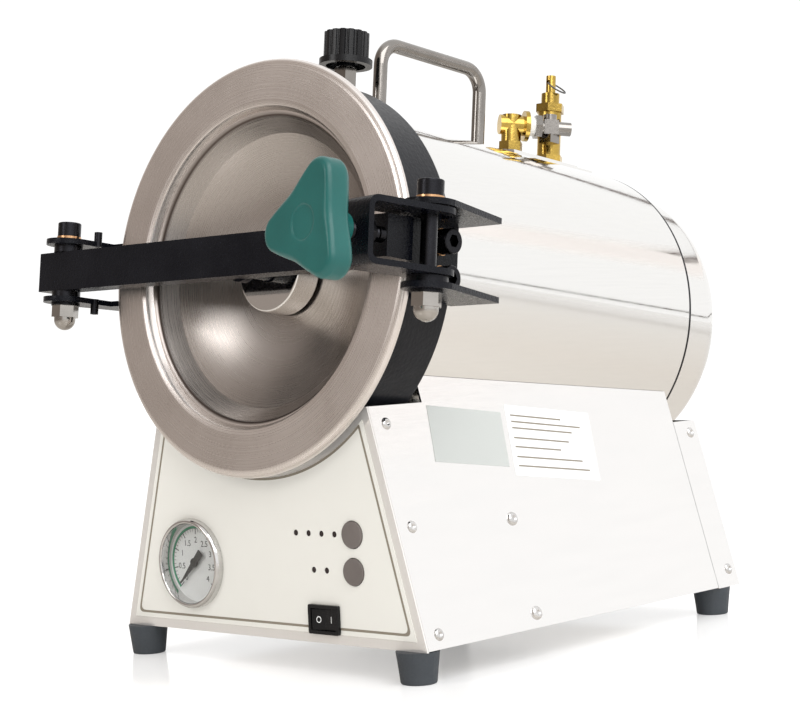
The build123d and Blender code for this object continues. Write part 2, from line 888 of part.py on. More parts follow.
def acorn_nut(side, low_face):
    """Domed M8 nut closing the bolt's lower end, with a plain washer above it."""
    with BuildPart() as nut:
        with BuildSketch(upright(side * pivot_x, pivot_v, low_face - 1.6)):
            RegularPolygon(nut_across_flats / 2, 6, major_radius=False)
        extrude(amount=-nut_height)
        with BuildSketch(facing(side * pivot_x, pivot_v, 0)):
            with BuildLine():
                dome_top = low_face - 1.6 - nut_height
                Polyline((0, dome_top - 7.2), (0, dome_top), (6, dome_top), (6, dome_top - 1.2))
                RadiusArc((6, dome_top - 1.2), (0, dome_top - 7.2), 6)
            make_face()
        revolve(axis=Axis(point(side * pivot_x, pivot_v, 0), upward))
        with BuildSketch(upright(side * pivot_x, pivot_v, low_face)):
            Circle(bolt_radius)
        extrude(amount=-10, mode=Mode.SUBTRACT)
    return nut.part


right_low_face = right_bracket_low - bracket_plate
left_low_face = left_bracket_low - bracket_plate
with BuildPart() as pivot_bolts:
    add(pivot_bolt(1, right_low_face))
    add(pivot_bolt(-1, left_low_face))
save(pivot_bolts.part, "pivot_bolts")
with BuildPart() as acorn_nuts:
    add(acorn_nut(1, right_low_face))
    add(acorn_nut(-1, left_low_face))
save(acorn_nuts.part, "acorn_nuts")

washer_gap = 0.15
yoke_top = yoke_high + yoke_plate
yoke_bottom = yoke_low - yoke_plate
washer_stacks = [
    (1, yoke_top + washer_gap, bracket_top - washer_gap - yoke_top, 9.0),
    (1, right_bracket_low, yoke_bottom - washer_gap - right_bracket_low, 10.0),
    (1, right_low_face - 1.6, 1.6, 8.0),
    (-1, bar_high + washer_gap, bracket_top - bar_high - washer_gap, 8.0),
    (-1, left_bracket_low, bar_low - washer_gap - left_bracket_low, 8.0),
    (-1, left_low_face - 1.6, 1.6, 8.0),
]
with BuildPart() as pivot_washers:
    for side, base, height, radius in washer_stacks:
        with BuildSketch(upright(side * pivot_x, pivot_v, base)):
            Circle(radius)
            Circle(bolt_radius + 0.05, mode=Mode.SUBTRACT)
        extrude(amount=height)
save(pivot_washers.part, "pivot_washers")

# ---- door bar, door and clamp --------------------------------------------------------------
stud_radius = 6.0
anvil_left = 110.0
anvil_right = 132.5

with BuildPart() as door_bar:
    with BuildSketch(upright(0, 0, bar_low)):
        with Locations(((bar_left + bar_right) / 2, bar_front + bar_thickness / 2)):
            Rectangle(bar_right - bar_left, bar_thickness)
        with Locations(((anvil_left + anvil_right) / 2, (anvil_front + bar_front) / 2)):
            Rectangle(anvil_right - anvil_left, bar_front - anvil_front)
        with Locations((-pivot_x, pivot_v)):
            Circle(bolt_radius + 0.05, mode=Mode.SUBTRACT)
    extrude(amount=bar_high - bar_low)
    with BuildSketch(upright(0, 0, bar_high)):
        with Locations(((anvil_left + anvil_right) / 2, (anvil_front + bar_front) / 2 - 1)):
            Rectangle(anvil_right - anvil_left + 1, bar_front - anvil_front + 2)
    extrude(amount=-1.5, mode=Mode.SUBTRACT)
    with BuildSketch(facing(0, bar_front, 0)):
        Circle(stud_radius)
    extrude(amount=-bar_thickness, mode=Mode.SUBTRACT)
save(door_bar.part, "door_bar")

stud_gap = 0.08
stud_neck = 9.0
stud_floor = 21.0
with BuildPart() as door_stud:
    with BuildSketch(chamber_section):
        with BuildLine():
            Polyline(
                (bar_front, 0), (bar_front, stud_radius), (bar_front + bar_thickness, stud_radius),
                (bar_front + bar_thickness, stud_neck), (bar_front + bar_thickness + 5, stud_neck),
                (bar_front + bar_thickness + 5, stud_radius),
                (stud_floor, stud_radius),
                (stud_floor, 0),
                close=True,
            )
        make_face()
    revolve(axis=chamber_axis)
save(door_stud.part, "door_stud")


def sphere_radius(rise, radius):
    return (rise ** 2 + radius ** 2) / (2 * rise)


dish_sphere = sphere_radius(dish_depth - 2.2, dish_radius)
back_depth = dish_depth + 3.0
back_sphere = sphere_radius(back_depth - door_back, dish_radius - 1.2)

with BuildPart() as door:
    with BuildSketch(chamber_section):
        with BuildLine():
            RadiusArc((dish_depth, 0.01), (2.2, dish_radius), -dish_sphere)
            Polyline(
                (2.2, dish_radius), (0.9, dish_radius + 1.2), (door_face, dish_radius + 3.6),
                (door_face, door_radius - 3),
                (1.2, door_radius - 0.9),
                (2.8, door_radius),
                (door_back, door_radius),
                (door_back, dish_radius - 1.2),
            )
            RadiusArc((door_back, dish_radius - 1.2), (back_depth, 0.01), back_sphere)
            Line((back_depth, 0.01), (dish_depth, 0.01))
        make_face()
    revolve(axis=chamber_axis)
save(door.part, "door")

with BuildPart() as door_boss:
    with BuildSketch(facing(0, boss_face, 0)):
        Circle(boss_radius)
    extrude(amount=boss_face - dish_depth)
    with BuildSketch(chamber_section):
        with BuildLine():
            RadiusArc((dish_depth, 0.01), (2.2, dish_radius), -dish_sphere)
            Polyline((2.2, dish_radius), (60, dish_radius), (60, 0.01), (dish_depth, 0.01))
        make_face()
    revolve(axis=chamber_axis, mode=Mode.SUBTRACT)
    with BuildSketch(facing(0, boss_face, 0)):
        Circle(stud_radius + stud_gap)
    extrude(amount=boss_face - stud_floor - 0.3, mode=Mode.SUBTRACT)
save(door_boss.part, "door_boss")

slot_gap = 0.7
web_inside = yoke_reach - yoke_plate

with BuildPart() as yoke:
    for base, height in ((yoke_high, yoke_plate), (yoke_bottom, yoke_plate)):
        with BuildSketch(yoke_deck(base)):
            with Locations((0, -yoke_reach / 2)):
                Rectangle(yoke_width, yoke_reach)
            Circle(yoke_width / 2)
        extrude(amount=height)
    with BuildSketch(yoke_plane(web_inside, 0)):
        with Locations((0, yoke_middle)):
            Rectangle(yoke_width, yoke_top - yoke_bottom)
        with Locations((0, yoke_middle)):
            Circle(bolt_radius + 0.05, mode=Mode.SUBTRACT)
    extrude(amount=yoke_plate)
    fillet(yoke.edges().filter_by(Axis(point(0, 0, 0), yoke_plane(0, 0).x_dir)).group_by(Axis.Y)[0], 2.5)
    with BuildSketch(upright(pivot_x, pivot_v, yoke_bottom - 1)):
        Circle(bolt_radius + 0.05)
        with Locations((0, 10)):
            Rectangle(2 * (bolt_radius + slot_gap), 20)
    extrude(amount=yoke_top - yoke_bottom + 2, mode=Mode.SUBTRACT)
save(yoke.part, "yoke")

thread_radius = bolt_radius - 0.05
pad_length = 3.0
hub_start = yoke_reach + knob_gap
hub_length = 11.0
lobe_depth = knob_length - hub_length
bore_depth = 14.0

with BuildPart() as lock_nut:
    with BuildSketch(yoke_plane(web_inside, yoke_middle)):
        RegularPolygon(nut_across_flats / 2, 6, major_radius=False)
        Circle(bolt_radius + 0.05, mode=Mode.SUBTRACT)
    extrude(amount=-nut_height)
save(lock_nut.part, "lock_nut")

with BuildPart() as clamp_pad:
    with BuildSketch(yoke_plane(screw_tip, yoke_middle)):
        Circle(bolt_radius - 0.2)
    extrude(amount=pad_length)
    with BuildSketch(yoke_plane(screw_tip + pad_length, yoke_middle)):
        Circle(1.5)
    extrude(amount=3)
save(clamp_pad.part, "clamp_pad")

with BuildPart() as clamp_screw:
    with BuildSketch(yoke_plane(screw_tip + pad_length + 0.1, yoke_middle)):
        Circle(thread_radius)
    extrude(amount=hub_start + bore_depth - screw_tip - pad_length)
    with BuildSketch(yoke_plane(screw_tip + pad_length + 0.1, yoke_middle)):
        Circle(1.55)
    extrude(amount=3.1, mode=Mode.SUBTRACT)
save(clamp_screw.part, "clamp_screw")

lobe_tip = 9.0           # rounding radius at the end of each lobe
hub_radius = 7.5
lobe_angles = (68, 188, 308)
with BuildPart() as clamp_knob:
    with BuildSketch(yoke_plane(hub_start + hub_length, yoke_middle)):
        for angle in lobe_angles:
            turn = radians(angle)
            centre = ((knob_lobe - lobe_tip) * cos(turn), (knob_lobe - lobe_tip) * sin(turn))
            with Locations(centre):
                Circle(lobe_tip)
        make_hull()
    extrude(amount=lobe_depth)
    fillet(clamp_knob.edges().filter_by(GeomType.LINE, reverse=True).group_by(Axis.Y)[0], 2)
    with BuildSketch(yoke_plane(hub_start, yoke_middle)):
        Circle(hub_radius)
    extrude(amount=hub_length)
    with BuildSketch(yoke_plane(hub_start, yoke_middle)):
        Circle(thread_radius)
    extrude(amount=bore_depth + 0.1, mode=Mode.SUBTRACT)
save(clamp_knob.part, "clamp_knob")

# ---- carry handle and top fittings ----------------------------------------------------------
with BuildPart() as carry_handle:
    with BuildLine() as handle_path:
        with BuildLine(sideways(0, 0, 0)):
            FilletPolyline(
                (handle_front, shell_radius - 0.8), (handle_front, handle_w), (handle_back, handle_w),
                (handle_back, shell_radius - 0.8), radius=handle_bend,
            )
    with BuildSketch(upright(0, handle_front, shell_radius - 0.8)):
        Circle(handle_rod)
    sweep(path=handle_path.wire())
save(carry_handle.part, "carry_handle")

release_low = 119.5
with BuildPart() as release_valve:
    with BuildSketch(upright(0, release_v, shell_radius - 6)):
        Rectangle(8.5, 8.5)
    extrude(amount=release_low - shell_radius + 6 - 1)
    with BuildSketch(upright(0, release_v, release_low - 1)):
        Circle(3.0)
    extrude(amount=8)
save(release_valve.part, "release_valve")

flute_count = 16
with BuildPart() as release_knob:
    with BuildSketch(upright(0, release_v, release_low)):
        Circle(14.8)
    extrude(amount=3.5)
    with BuildSketch(upright(0, release_v, release_low + 3.5)):
        Circle(12.6)
        with PolarLocations(12.9, flute_count):
            Circle(1.3, mode=Mode.SUBTRACT)
    extrude(amount=15)
    with BuildSketch(upright(0, release_v, release_low)):
        Circle(11)
    extrude(amount=2.5, mode=Mode.SUBTRACT)
    with BuildSketch(upright(0, release_v, release_low - 0.5)):
        Circle(5)
    extrude(amount=4)
    with BuildSketch(upright(0, release_v, release_low - 1)):
        Circle(3.05)
    extrude(amount=8.4, mode=Mode.SUBTRACT)
save(release_knob.part, "release_knob")

saddle_middle = 224.0
with BuildPart() as fitting_plate:
    for reach, half_span, half_length in ((1.3, 22, 38), (2.6, 16, 31)):
        with BuildSketch(facing(0, saddle_middle - half_length, 0)):
            Circle(shell_radius + reach)
            Circle(shell_radius + 0.05, mode=Mode.SUBTRACT)
            with Locations((0, shell_radius)):
                Rectangle(2 * half_span, 20, mode=Mode.INTERSECT)
        extrude(amount=-2 * half_length)
    with BuildSketch(upright(0, 0, 80)):
        with Locations((0, elbow_v), (0, safety_v)):
            Circle(4.1)
    extrude(amount=30, mode=Mode.SUBTRACT)
save(fitting_plate.part, "fitting_plate")

plate_top = shell_radius + 2.6
outlet_w = 112.8
outlet_x = cos(radians(outlet_turn))
outlet_v = sin(radians(outlet_turn))


def outlet_plane(reach):
    """Plane across the vent pipe, looking along it away from the elbow."""
    ahead = tuple(outlet_x * a + outlet_v * b for a, b in zip((1, 0, 0), along))
    across = tuple(outlet_v * a - outlet_x * b for a, b in zip((1, 0, 0), along))
    origin = point(outlet_x * reach, elbow_v + outlet_v * reach, outlet_w)
    return Plane(origin=origin, x_dir=across, z_dir=ahead)


with BuildPart() as brass_elbow:
    with BuildSketch(upright(0, elbow_v, plate_top + 2.2)):
        RegularPolygon(6.5, 6, major_radius=False)
    extrude(amount=5)
    with BuildSketch(upright(0, elbow_v, plate_top + 7.2)):
        Circle(6)
    extrude(amount=outlet_w - plate_top - 7.2 + 6)
    with BuildSketch(outlet_plane(-7.5)):
        Circle(6)
    extrude(amount=15)
    with BuildSketch(outlet_plane(7.5)):
        Circle(9.3)
    extrude(amount=2.6)
    with BuildSketch(upright(0, elbow_v, plate_top)):
        RegularPolygon(6.5, 6, major_radius=False)
    extrude(amount=2.2)
    with BuildSketch(upright(0, elbow_v, plate_top)):
        Circle(4)
    extrude(amount=-4)
save(brass_elbow.part, "brass_elbow")

with BuildPart() as vent_seal:
    with BuildSketch(outlet_plane(10.1)):
        Circle(5.8)
    extrude(amount=4.2)
save(vent_seal.part, "vent_seal")

with BuildPart() as vent_valve:
    with BuildSketch(outlet_plane(14.3)):
        RegularPolygon(6.5, 6, major_radius=False)
    extrude(amount=4)
    with BuildSketch(outlet_plane(18.3)):
        Circle(4.2)
    extrude(amount=18.5)
    with BuildSketch(outlet_plane(19.6)):
        Rectangle(9, 9)
    extrude(amount=9)
    with BuildSketch(upright(outlet_x * 24, elbow_v + outlet_v * 24, outlet_w + 4.5)):
        Circle(4)
    extrude(amount=3.5)
    with BuildSketch(upright(outlet_x * 24, elbow_v + outlet_v * 24, outlet_w - 4.5)):
        Rectangle(8.7, 8.7)
    extrude(amount=-5)
save(vent_valve.part, "vent_valve")

stem_radius = 3.0
eyelet_height = 146.0
stem_gap = 0.06
with BuildPart() as safety_valve:
    for base, top, shape in (
        (plate_top, plate_top + 4.7, "hex"), (plate_top + 4.7, 127.0, "body"), (127.0, 132.0, "hex"),
        (132.0, 139.0, "neck"),
    ):
        with BuildSketch(upright(0, safety_v, base)):
            if shape == "hex":
                RegularPolygon(8, 6, major_radius=False)
            else:
                Circle(7.2 if shape == "body" else 5.6)
        extrude(amount=top - base)
    with BuildSketch(upright(0, safety_v, plate_top)):
        Circle(4)
    extrude(amount=-4)
    with BuildSketch(upright(0, safety_v, 110)):
        Circle(stem_radius + stem_gap)
    extrude(amount=40, mode=Mode.SUBTRACT)
    with BuildSketch(sideways(-10, safety_v, 116)):
        with GridLocations(0, 10, 1, 2):
            Circle(1.5)
    extrude(amount=20, mode=Mode.SUBTRACT)
save(safety_valve.part, "safety_valve")

with BuildPart() as safety_stem:
    with BuildSketch(upright(0, safety_v, 110.3)):
        Circle(stem_radius)
    extrude(amount=40)
    with BuildSketch(facing(0, safety_v - 5, eyelet_height)):
        Circle(1.5)
    extrude(amount=-10, mode=Mode.SUBTRACT)
save(safety_stem.part, "safety_stem")

ring_radius = 6.0
ring_wire = 0.5
ring_droop = 37.0
ring_x = ring_radius * cos(radians(ring_droop))
ring_w = eyelet_height - ring_radius * sin(radians(ring_droop))
with BuildPart() as pull_ring:
    with BuildSketch(facing(0, safety_v, eyelet_height)):
        Circle(ring_wire)
    revolve(axis=Axis(point(ring_x, safety_v, ring_w), upright(0, 0, 0).rotated((0, ring_droop, 0)).z_dir))
save(pull_ring.part, "pull_ring")
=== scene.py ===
import bmesh
import bpy
from math import atan, cos, pi, radians, sin, sqrt
from mathutils import Matrix, Vector
import json

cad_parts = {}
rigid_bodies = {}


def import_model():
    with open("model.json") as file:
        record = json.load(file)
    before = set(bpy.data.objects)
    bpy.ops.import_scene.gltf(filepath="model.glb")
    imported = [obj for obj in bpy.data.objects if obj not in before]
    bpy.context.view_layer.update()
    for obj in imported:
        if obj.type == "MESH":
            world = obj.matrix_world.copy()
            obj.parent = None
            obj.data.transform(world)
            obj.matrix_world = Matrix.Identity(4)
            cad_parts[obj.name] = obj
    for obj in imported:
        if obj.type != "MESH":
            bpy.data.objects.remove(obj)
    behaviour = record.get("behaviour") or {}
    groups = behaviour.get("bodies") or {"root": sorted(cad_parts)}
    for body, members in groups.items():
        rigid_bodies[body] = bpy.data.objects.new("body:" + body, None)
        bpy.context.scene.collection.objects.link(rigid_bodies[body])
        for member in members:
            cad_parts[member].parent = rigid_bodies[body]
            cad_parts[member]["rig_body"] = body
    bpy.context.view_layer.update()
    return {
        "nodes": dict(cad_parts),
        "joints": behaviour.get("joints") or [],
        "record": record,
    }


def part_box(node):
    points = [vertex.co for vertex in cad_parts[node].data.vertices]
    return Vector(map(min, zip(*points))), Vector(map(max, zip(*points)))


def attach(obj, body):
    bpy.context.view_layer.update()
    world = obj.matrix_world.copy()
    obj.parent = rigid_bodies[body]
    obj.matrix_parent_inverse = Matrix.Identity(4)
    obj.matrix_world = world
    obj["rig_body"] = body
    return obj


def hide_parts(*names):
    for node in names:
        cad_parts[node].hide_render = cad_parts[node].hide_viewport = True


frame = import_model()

MM = 0.001
NODES = frame["nodes"]
JOINTS = {j["name"]: j for j in frame["joints"]}

# ---- the chamber's own directions, read from the door's spin axis and the exhaust valve's axis ----
CHAMBER = Vector(JOINTS["door_spin"]["pos_m"])
ALONG = Vector(JOINTS["door_spin"]["axis"]).normalized()
ACROSS = Vector((1, 0, 0))
UPWARD = Vector(JOINTS["exhaust_turn"]["axis"]).normalized()
PANEL_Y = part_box("front_panel")[0].y


def axes(origin, x_axis, y_axis, z_axis):
    """A placing matrix with the given origin and directions."""
    m = Matrix((x_axis, y_axis, z_axis)).transposed().to_4x4()
    m.translation = origin
    return m


# ---- node materials --------------------------------------------------------------------------
class Graph:
    """A short way of writing a node material."""

    def __init__(self, name):
        self.mat = bpy.data.materials.new(name)
        self.mat.use_nodes = True
        self.tree = self.mat.node_tree
        self.bsdf = self.tree.nodes["Principled BSDF"]
        self.coords = self.add("ShaderNodeTexCoord").outputs["Object"]

    def add(self, kind, **values):
        node = self.tree.nodes.new(kind)
        for key, value in values.items():
            setattr(node, key, value)
        return node

    def link(self, a, b):
        self.tree.links.new(a, b)

    def put(self, node, socket, value):
        target = node.inputs[socket]
        if hasattr(value, "is_output"):
            self.link(value, target)
        else:
            target.default_value = value

    def shader(self, **values):
        for key, value in values.items():
            self.put(self.bsdf, key.replace("_", " "), value)

    def scaled(self, scale):
        node = self.add("ShaderNodeMapping")
        self.put(node, "Vector", self.coords)
        node.inputs["Scale"].default_value = scale
        return node.outputs["Vector"]

    def noise(self, scale, vector=None, detail=4.0, rough=0.55):
        node = self.add("ShaderNodeTexNoise")
        self.put(node, "Vector", vector or self.coords)
        node.inputs["Scale"].default_value = scale
        node.inputs["Detail"].default_value = detail
        node.inputs["Roughness"].default_value = rough
        return node.outputs["Fac"]

    def ramp(self, value, stops):
        node = self.add("ShaderNodeValToRGB")
        self.put(node, "Fac", value)
        ramp = node.color_ramp
        while len(ramp.elements) < len(stops):
            ramp.elements.new(0.5)
        for element, (place, colour) in zip(ramp.elements, stops):
            element.position = place
            element.color = tuple(colour) + (1,) if len(colour) == 3 else colour
        return node.outputs["Color"]

    def grey(self, value, low, high, start=0.3, stop=0.7):
        """Maps a value between start and stop onto the range from low to high."""
        node = self.add("ShaderNodeMapRange")
        self.put(node, "Value", value)
        node.inputs["From Min"].default_value = start
        node.inputs["From Max"].default_value = stop
        node.inputs["To Min"].default_value = low
        node.inputs["To Max"].default_value = high
        return node.outputs["Result"]

    def math(self, operation, a, b=0.0):
        node = self.add("ShaderNodeMath", operation=operation)
        self.put(node, 0, a)
        self.put(node, 1, b)
        return node.outputs[0]

    def bump(self, height, strength, distance):
        node = self.add("ShaderNodeBump")
        self.put(node, "Height", height)
        node.inputs["Strength"].default_value = strength
        node.inputs["Distance"].default_value = distance
        self.link(node.outputs["Normal"], self.bsdf.inputs["Normal"])


def polished(name, colour, rough=0.07, streak=(2, 220, 2), wave=0.045, metallic=1.0):
    """Polished stainless sheet: nearly a mirror, with faint drawn streaks and soft waves."""
    g = Graph(name)
    lines = g.noise(6.0, g.scaled(streak), 6.0)
    waves = g.noise(9.0, detail=1.0)
    tint = tuple(c * 0.98 for c in colour)
    g.shader(
        Base_Color=g.ramp(lines, ((0.35, tint), (0.65, colour))),
        Metallic=metallic,
        Roughness=g.grey(lines, rough * 0.6, rough * 1.5),
    )
    g.bump(g.math("ADD", waves, g.math("MULTIPLY", lines, 0.01)), wave, 0.0012)
    return g.mat


STEP_FOOT = 81.4 * MM
FOOT_BLEND = 3.0 * MM
# Painted shade: the dish's colour and the dark line and edge at the step's foot darken the spun steel inside
# the step.
DISH_PAINTED_SHADE = (0.66, 0.65, 0.64)
FOOT_PAINTED_SHADOW = (0.10, 0.085, 0.08)
FOOT_EDGE_PAINTED_SHADOW = (0.16, 0.14, 0.13)
RING_SHARE = 0.65


def brushed_round(name, centre, colour, rough, deep):
    """Spun stainless: fine rings about the axis, cloudy polishing marks and a painted shadow line at the
    step's foot.

    The dish inside the step is painted darker than the flange outside it, as painted shade.
    """
    g = Graph(name)
    offset = g.add("ShaderNodeVectorMath", operation="SUBTRACT")
    g.link(g.coords, offset.inputs[0])
    offset.inputs[1].default_value = centre
    flat = g.add("ShaderNodeVectorMath", operation="CROSS_PRODUCT")
    g.link(offset.outputs[0], flat.inputs[0])
    flat.inputs[1].default_value = ALONG
    reach = g.add("ShaderNodeVectorMath", operation="LENGTH")
    g.link(flat.outputs[0], reach.inputs[0])
    rings = g.add("ShaderNodeTexNoise", noise_dimensions="1D")
    g.link(reach.outputs["Value"], rings.inputs["W"])
    rings.inputs["Scale"].default_value = 2600.0
    rings.inputs["Detail"].default_value = 4.0
    cloud = g.noise(26.0, detail=5.0)
    fine = g.math("MULTIPLY", rings.outputs["Fac"], RING_SHARE)
    mixed = g.math("ADD", fine, g.math("MULTIPLY", cloud, 1 - RING_SHARE))
    low = tuple(c * deep for c in colour)
    tone = g.ramp(mixed, ((0.35, low), (0.62, colour)))
    # Painted shade: this darkens the dish and paints a shadow line at the step's foot. The flange keeps its
    # colour.
    foot = g.ramp(
        g.grey(reach.outputs["Value"], 0.0, 1.0, STEP_FOOT - FOOT_BLEND, STEP_FOOT + FOOT_BLEND),
        ((0.30, DISH_PAINTED_SHADE), (0.47, FOOT_PAINTED_SHADOW), (0.53, FOOT_EDGE_PAINTED_SHADOW), (0.75, (1, 1, 1))),
    )
    shaded = g.add("ShaderNodeMix", data_type="RGBA", blend_type="MULTIPLY")
    shaded.inputs["Factor"].default_value = 1.0
    g.link(tone, shaded.inputs[6])
    g.link(foot, shaded.inputs[7])
    g.shader(
        Base_Color=shaded.outputs[2],
        Metallic=1.0,
        Roughness=g.grey(mixed, rough * 0.75, rough * 1.3),
    )
    g.bump(rings.outputs["Fac"], 0.07, 0.0001)
    tangent = g.add("ShaderNodeVectorMath", operation="NORMALIZE")
    g.link(flat.outputs[0], tangent.inputs[0])
    g.link(tangent.outputs[0], g.bsdf.inputs["Tangent"])
    g.bsdf.inputs["Anisotropic"].default_value = 0.15
    return g.mat


def metal(name, colour, rough, grain=900.0, dirt=0.85, strength=0.08):
    """Bare or plated metal with a fine grain and slightly dirty patches."""
    g = Graph(name)
    fine = g.noise(grain, detail=3.0)
    broad = g.noise(60.0)
    dark = tuple(c * dirt for c in colour)
    g.shader(
        Base_Color=g.ramp(broad, ((0.35, dark), (0.65, colour))),
        Metallic=1.0,
        Roughness=g.grey(fine, rough * 0.75, rough * 1.3),
    )
    g.bump(fine, strength, 0.0002)
    return g.mat


def powder(name, colour, rough=0.5, grain=1100.0, strength=0.35, shine=0.5):
    """Powder coat or moulded plastic with a fine orange-peel skin."""
    g = Graph(name)
    peel = g.noise(grain, detail=2.0)
    broad = g.noise(35.0)
    light = tuple(min(1.0, c * 1.25 + 0.004) for c in colour)
    g.shader(
        Base_Color=g.ramp(broad, ((0.35, colour), (0.7, light))),
        Roughness=g.grey(peel, rough * 0.85, rough * 1.15),
        Specular_IOR_Level=shine,
    )
    g.bump(peel, strength, 0.0003)
    return g.mat


def film(name, colour, rough=0.35):
    """Printed film, paint or enamel: almost even, with a very fine grain."""
    g = Graph(name)
    grain = g.noise(1500.0, detail=2.0)
    broad = g.noise(14.0)
    shade = tuple(c * 0.97 for c in colour)
    g.shader(
        Base_Color=g.ramp(broad, ((0.35, shade), (0.65, colour))),
        Roughness=g.grey(grain, rough * 0.9, rough * 1.1),
    )
    g.bump(grain, 0.05, 0.0001)
    return g.mat


def glass(name):
    """Clear glass with faint smears."""
    g = Graph(name)
    smear = g.noise(40.0)
    g.shader(
        Base_Color=(0.97, 0.98, 0.98, 1),
        Roughness=g.grey(smear, 0.0, 0.03),
        IOR=1.45,
        Transmission_Weight=1.0,
    )
    return g.mat


MATERIALS = {
    "mirror_steel": polished("polished_steel", (0.86, 0.85, 0.83), 0.07, (160, 3, 160)),
    "side_steel": polished("side_steel", (0.90, 0.885, 0.87), 0.14, (3, 3, 30), 0.006),
    "frame_steel": polished("frame_steel", (0.82, 0.80, 0.77), 0.10, (160, 3, 3), 0.03, 0.45),
    "brushed_steel": brushed_round("spun_steel_painted_shade", CHAMBER, (0.84, 0.785, 0.75), 0.29, 0.9),
    "chamber_steel": metal("chamber_steel", (0.55, 0.53, 0.51), 0.3),
    "rod_steel": metal("rod_steel", (0.31, 0.29, 0.27), 0.14),
    "bezel_chrome": metal("bezel_chrome", (0.72, 0.71, 0.70), 0.08),
    "dark_steel": metal("dark_steel", (0.16, 0.16, 0.16), 0.4),
    "black_coat": powder("black_powder_coat", (0.002, 0.0025, 0.005), 0.28, 700.0, 0.7, 0.18),
    "collar_coat": powder("collar_coat", (0.004, 0.0045, 0.007), 0.34, 500.0, 0.7, 0.24),
    "black_oxide": metal("black_oxide", (0.028, 0.028, 0.032), 0.3),
    "nickel": metal("nickel", (0.47, 0.445, 0.415), 0.10),
    "brass": metal("brass", (0.64, 0.43, 0.10), 0.17, 700.0, 0.6, 0.3),
    "teal_plastic": powder("teal_plastic", (0.003, 0.087, 0.078), 0.34, 1300.0, 0.12),
    "black_plastic": powder("black_plastic", (0.004, 0.004, 0.005), 0.25, 1500.0, 0.1, 0.3),
    "button_plastic": powder("button_plastic", (0.14, 0.12, 0.11), 0.5, 1500.0, 0.15),
    "overlay_film": film("overlay_film", (0.80, 0.79, 0.735)),
    "overlay_line": film("overlay_line", (0.25, 0.22, 0.17)),
    "white_dial": film("white_dial", (0.86, 0.87, 0.86)),
    "dial_green": film("dial_green", (0.02, 0.30, 0.15)),
    "pointer_black": film("pointer_black", (0.012, 0.012, 0.012)),
    "clear_lens": glass("clear_lens"),
    "foot_rubber": powder("foot_rubber", (0.035, 0.042, 0.05), 0.55, 800.0, 0.3),
    "silicone": powder("silicone", (0.55, 0.16, 0.08), 0.5),
    "wool": powder("wool", (0.75, 0.62, 0.25), 0.9, 300.0, 0.8),
    "circuit_green": powder("circuit_green", (0.01, 0.14, 0.05), 0.4),
    "led_dark": powder("led_dark", (0.02, 0.012, 0.012), 0.2),
    "seal_white": film("seal_white", (0.86, 0.86, 0.84), 0.3),
    "copper_washer": metal("copper_washer", (0.72, 0.42, 0.22), 0.22),
    "label_film": film("label_film", (0.52, 0.54, 0.52), 0.4),
    "plate_film": film("plate_film", (0.86, 0.87, 0.87), 0.3),
    "tray_aluminium": metal("tray_aluminium", (0.72, 0.72, 0.73), 0.35),
}
SLOT_OF = {p["node"]: p["material_slot"] for p in frame["record"]["subparts"]}
BODY_OF = {name: node["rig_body"] for name, node in NODES.items()}
SPECIAL = {
    "side_panel_left": "side_steel",
    "side_panel_right": "side_steel",
    "rear_cover": "side_steel",
    "front_panel": "frame_steel",
    "chamber": "chamber_steel",
    "tray_rack": "chamber_steel",
    "carry_handle": "rod_steel",
    "collar": "collar_coat",
    "door_stud": "black_coat",
    "vent_valve": "rod_steel",
    "release_valve": "rod_steel",
}


def paint(obj, material):
    obj.data.materials.clear()
    obj.data.materials.append(MATERIALS[material])


for node_name, node in NODES.items():
    paint(node, SPECIAL.get(node_name, SLOT_OF[node_name]))


# ---- mesh helpers ---------------------------------------------------------------------------------
WELD = 1e-7


def mesh_object(name, verts, faces, material=None, smooth=True):
    """A welded mesh with its faces turned outward."""
    mesh = bpy.data.meshes.new(name)
    mesh.from_pydata([tuple(v) for v in verts], [], faces)
    mesh.validate()
    bm = bmesh.new()
    bm.from_mesh(mesh)
    bmesh.ops.remove_doubles(bm, verts=bm.verts, dist=WELD)
    bmesh.ops.recalc_face_normals(bm, faces=bm.faces)
    bm.to_mesh(mesh)
    bm.free()
    for polygon in mesh.polygons:
        polygon.use_smooth = smooth
    obj = bpy.data.objects.new(name, mesh)
    bpy.context.scene.collection.objects.link(obj)
    if material:
        mesh.materials.append(MATERIALS[material])
    if smooth:
        obj.modifiers.new("even_shading", "WEIGHTED_NORMAL").keep_sharp = True
    return obj


def rounded(points, radius, steps=5):
    """A polyline with its inner corners rounded; radius is one number, or one for each corner."""
    radii = radius if isinstance(radius, (list, tuple)) else [radius] * (len(points) - 2)
    out = [Vector(points[0])]
    for i, r in enumerate(radii, start=1):
        before, corner, after = (Vector(points[i + k]) for k in (-1, 0, 1))
        cut = min(r, 0.48 * (before - corner).length, 0.48 * (after - corner).length)
        start = corner + (before - corner).normalized() * cut
        stop = corner + (after - corner).normalized() * cut
        for k in range(steps + 1):
            t = k / steps
            out.append(start * (1 - t) ** 2 + corner * 2 * t * (1 - t) + stop * t * t)
    out.append(Vector(points[-1]))
    return out


def lathe(name, profile, frame_matrix, material, segments=192):
    """Turns (along, radius) points, in millimetres, about the matrix's third axis."""
    verts, faces = [], []
    for along, radius in profile:
        for k in range(segments):
            turn = 2 * pi * k / segments
            place = Vector((radius * cos(turn), radius * sin(turn), along)) * MM
            verts.append(frame_matrix @ place)
    for i in range(len(profile) - 1):
        here, there = i * segments, (i + 1) * segments
        for k in range(segments):
            n = (k + 1) % segments
            faces.append((here + k, here + n, there + n, there + k))
    return mesh_object(name, verts, faces, material)


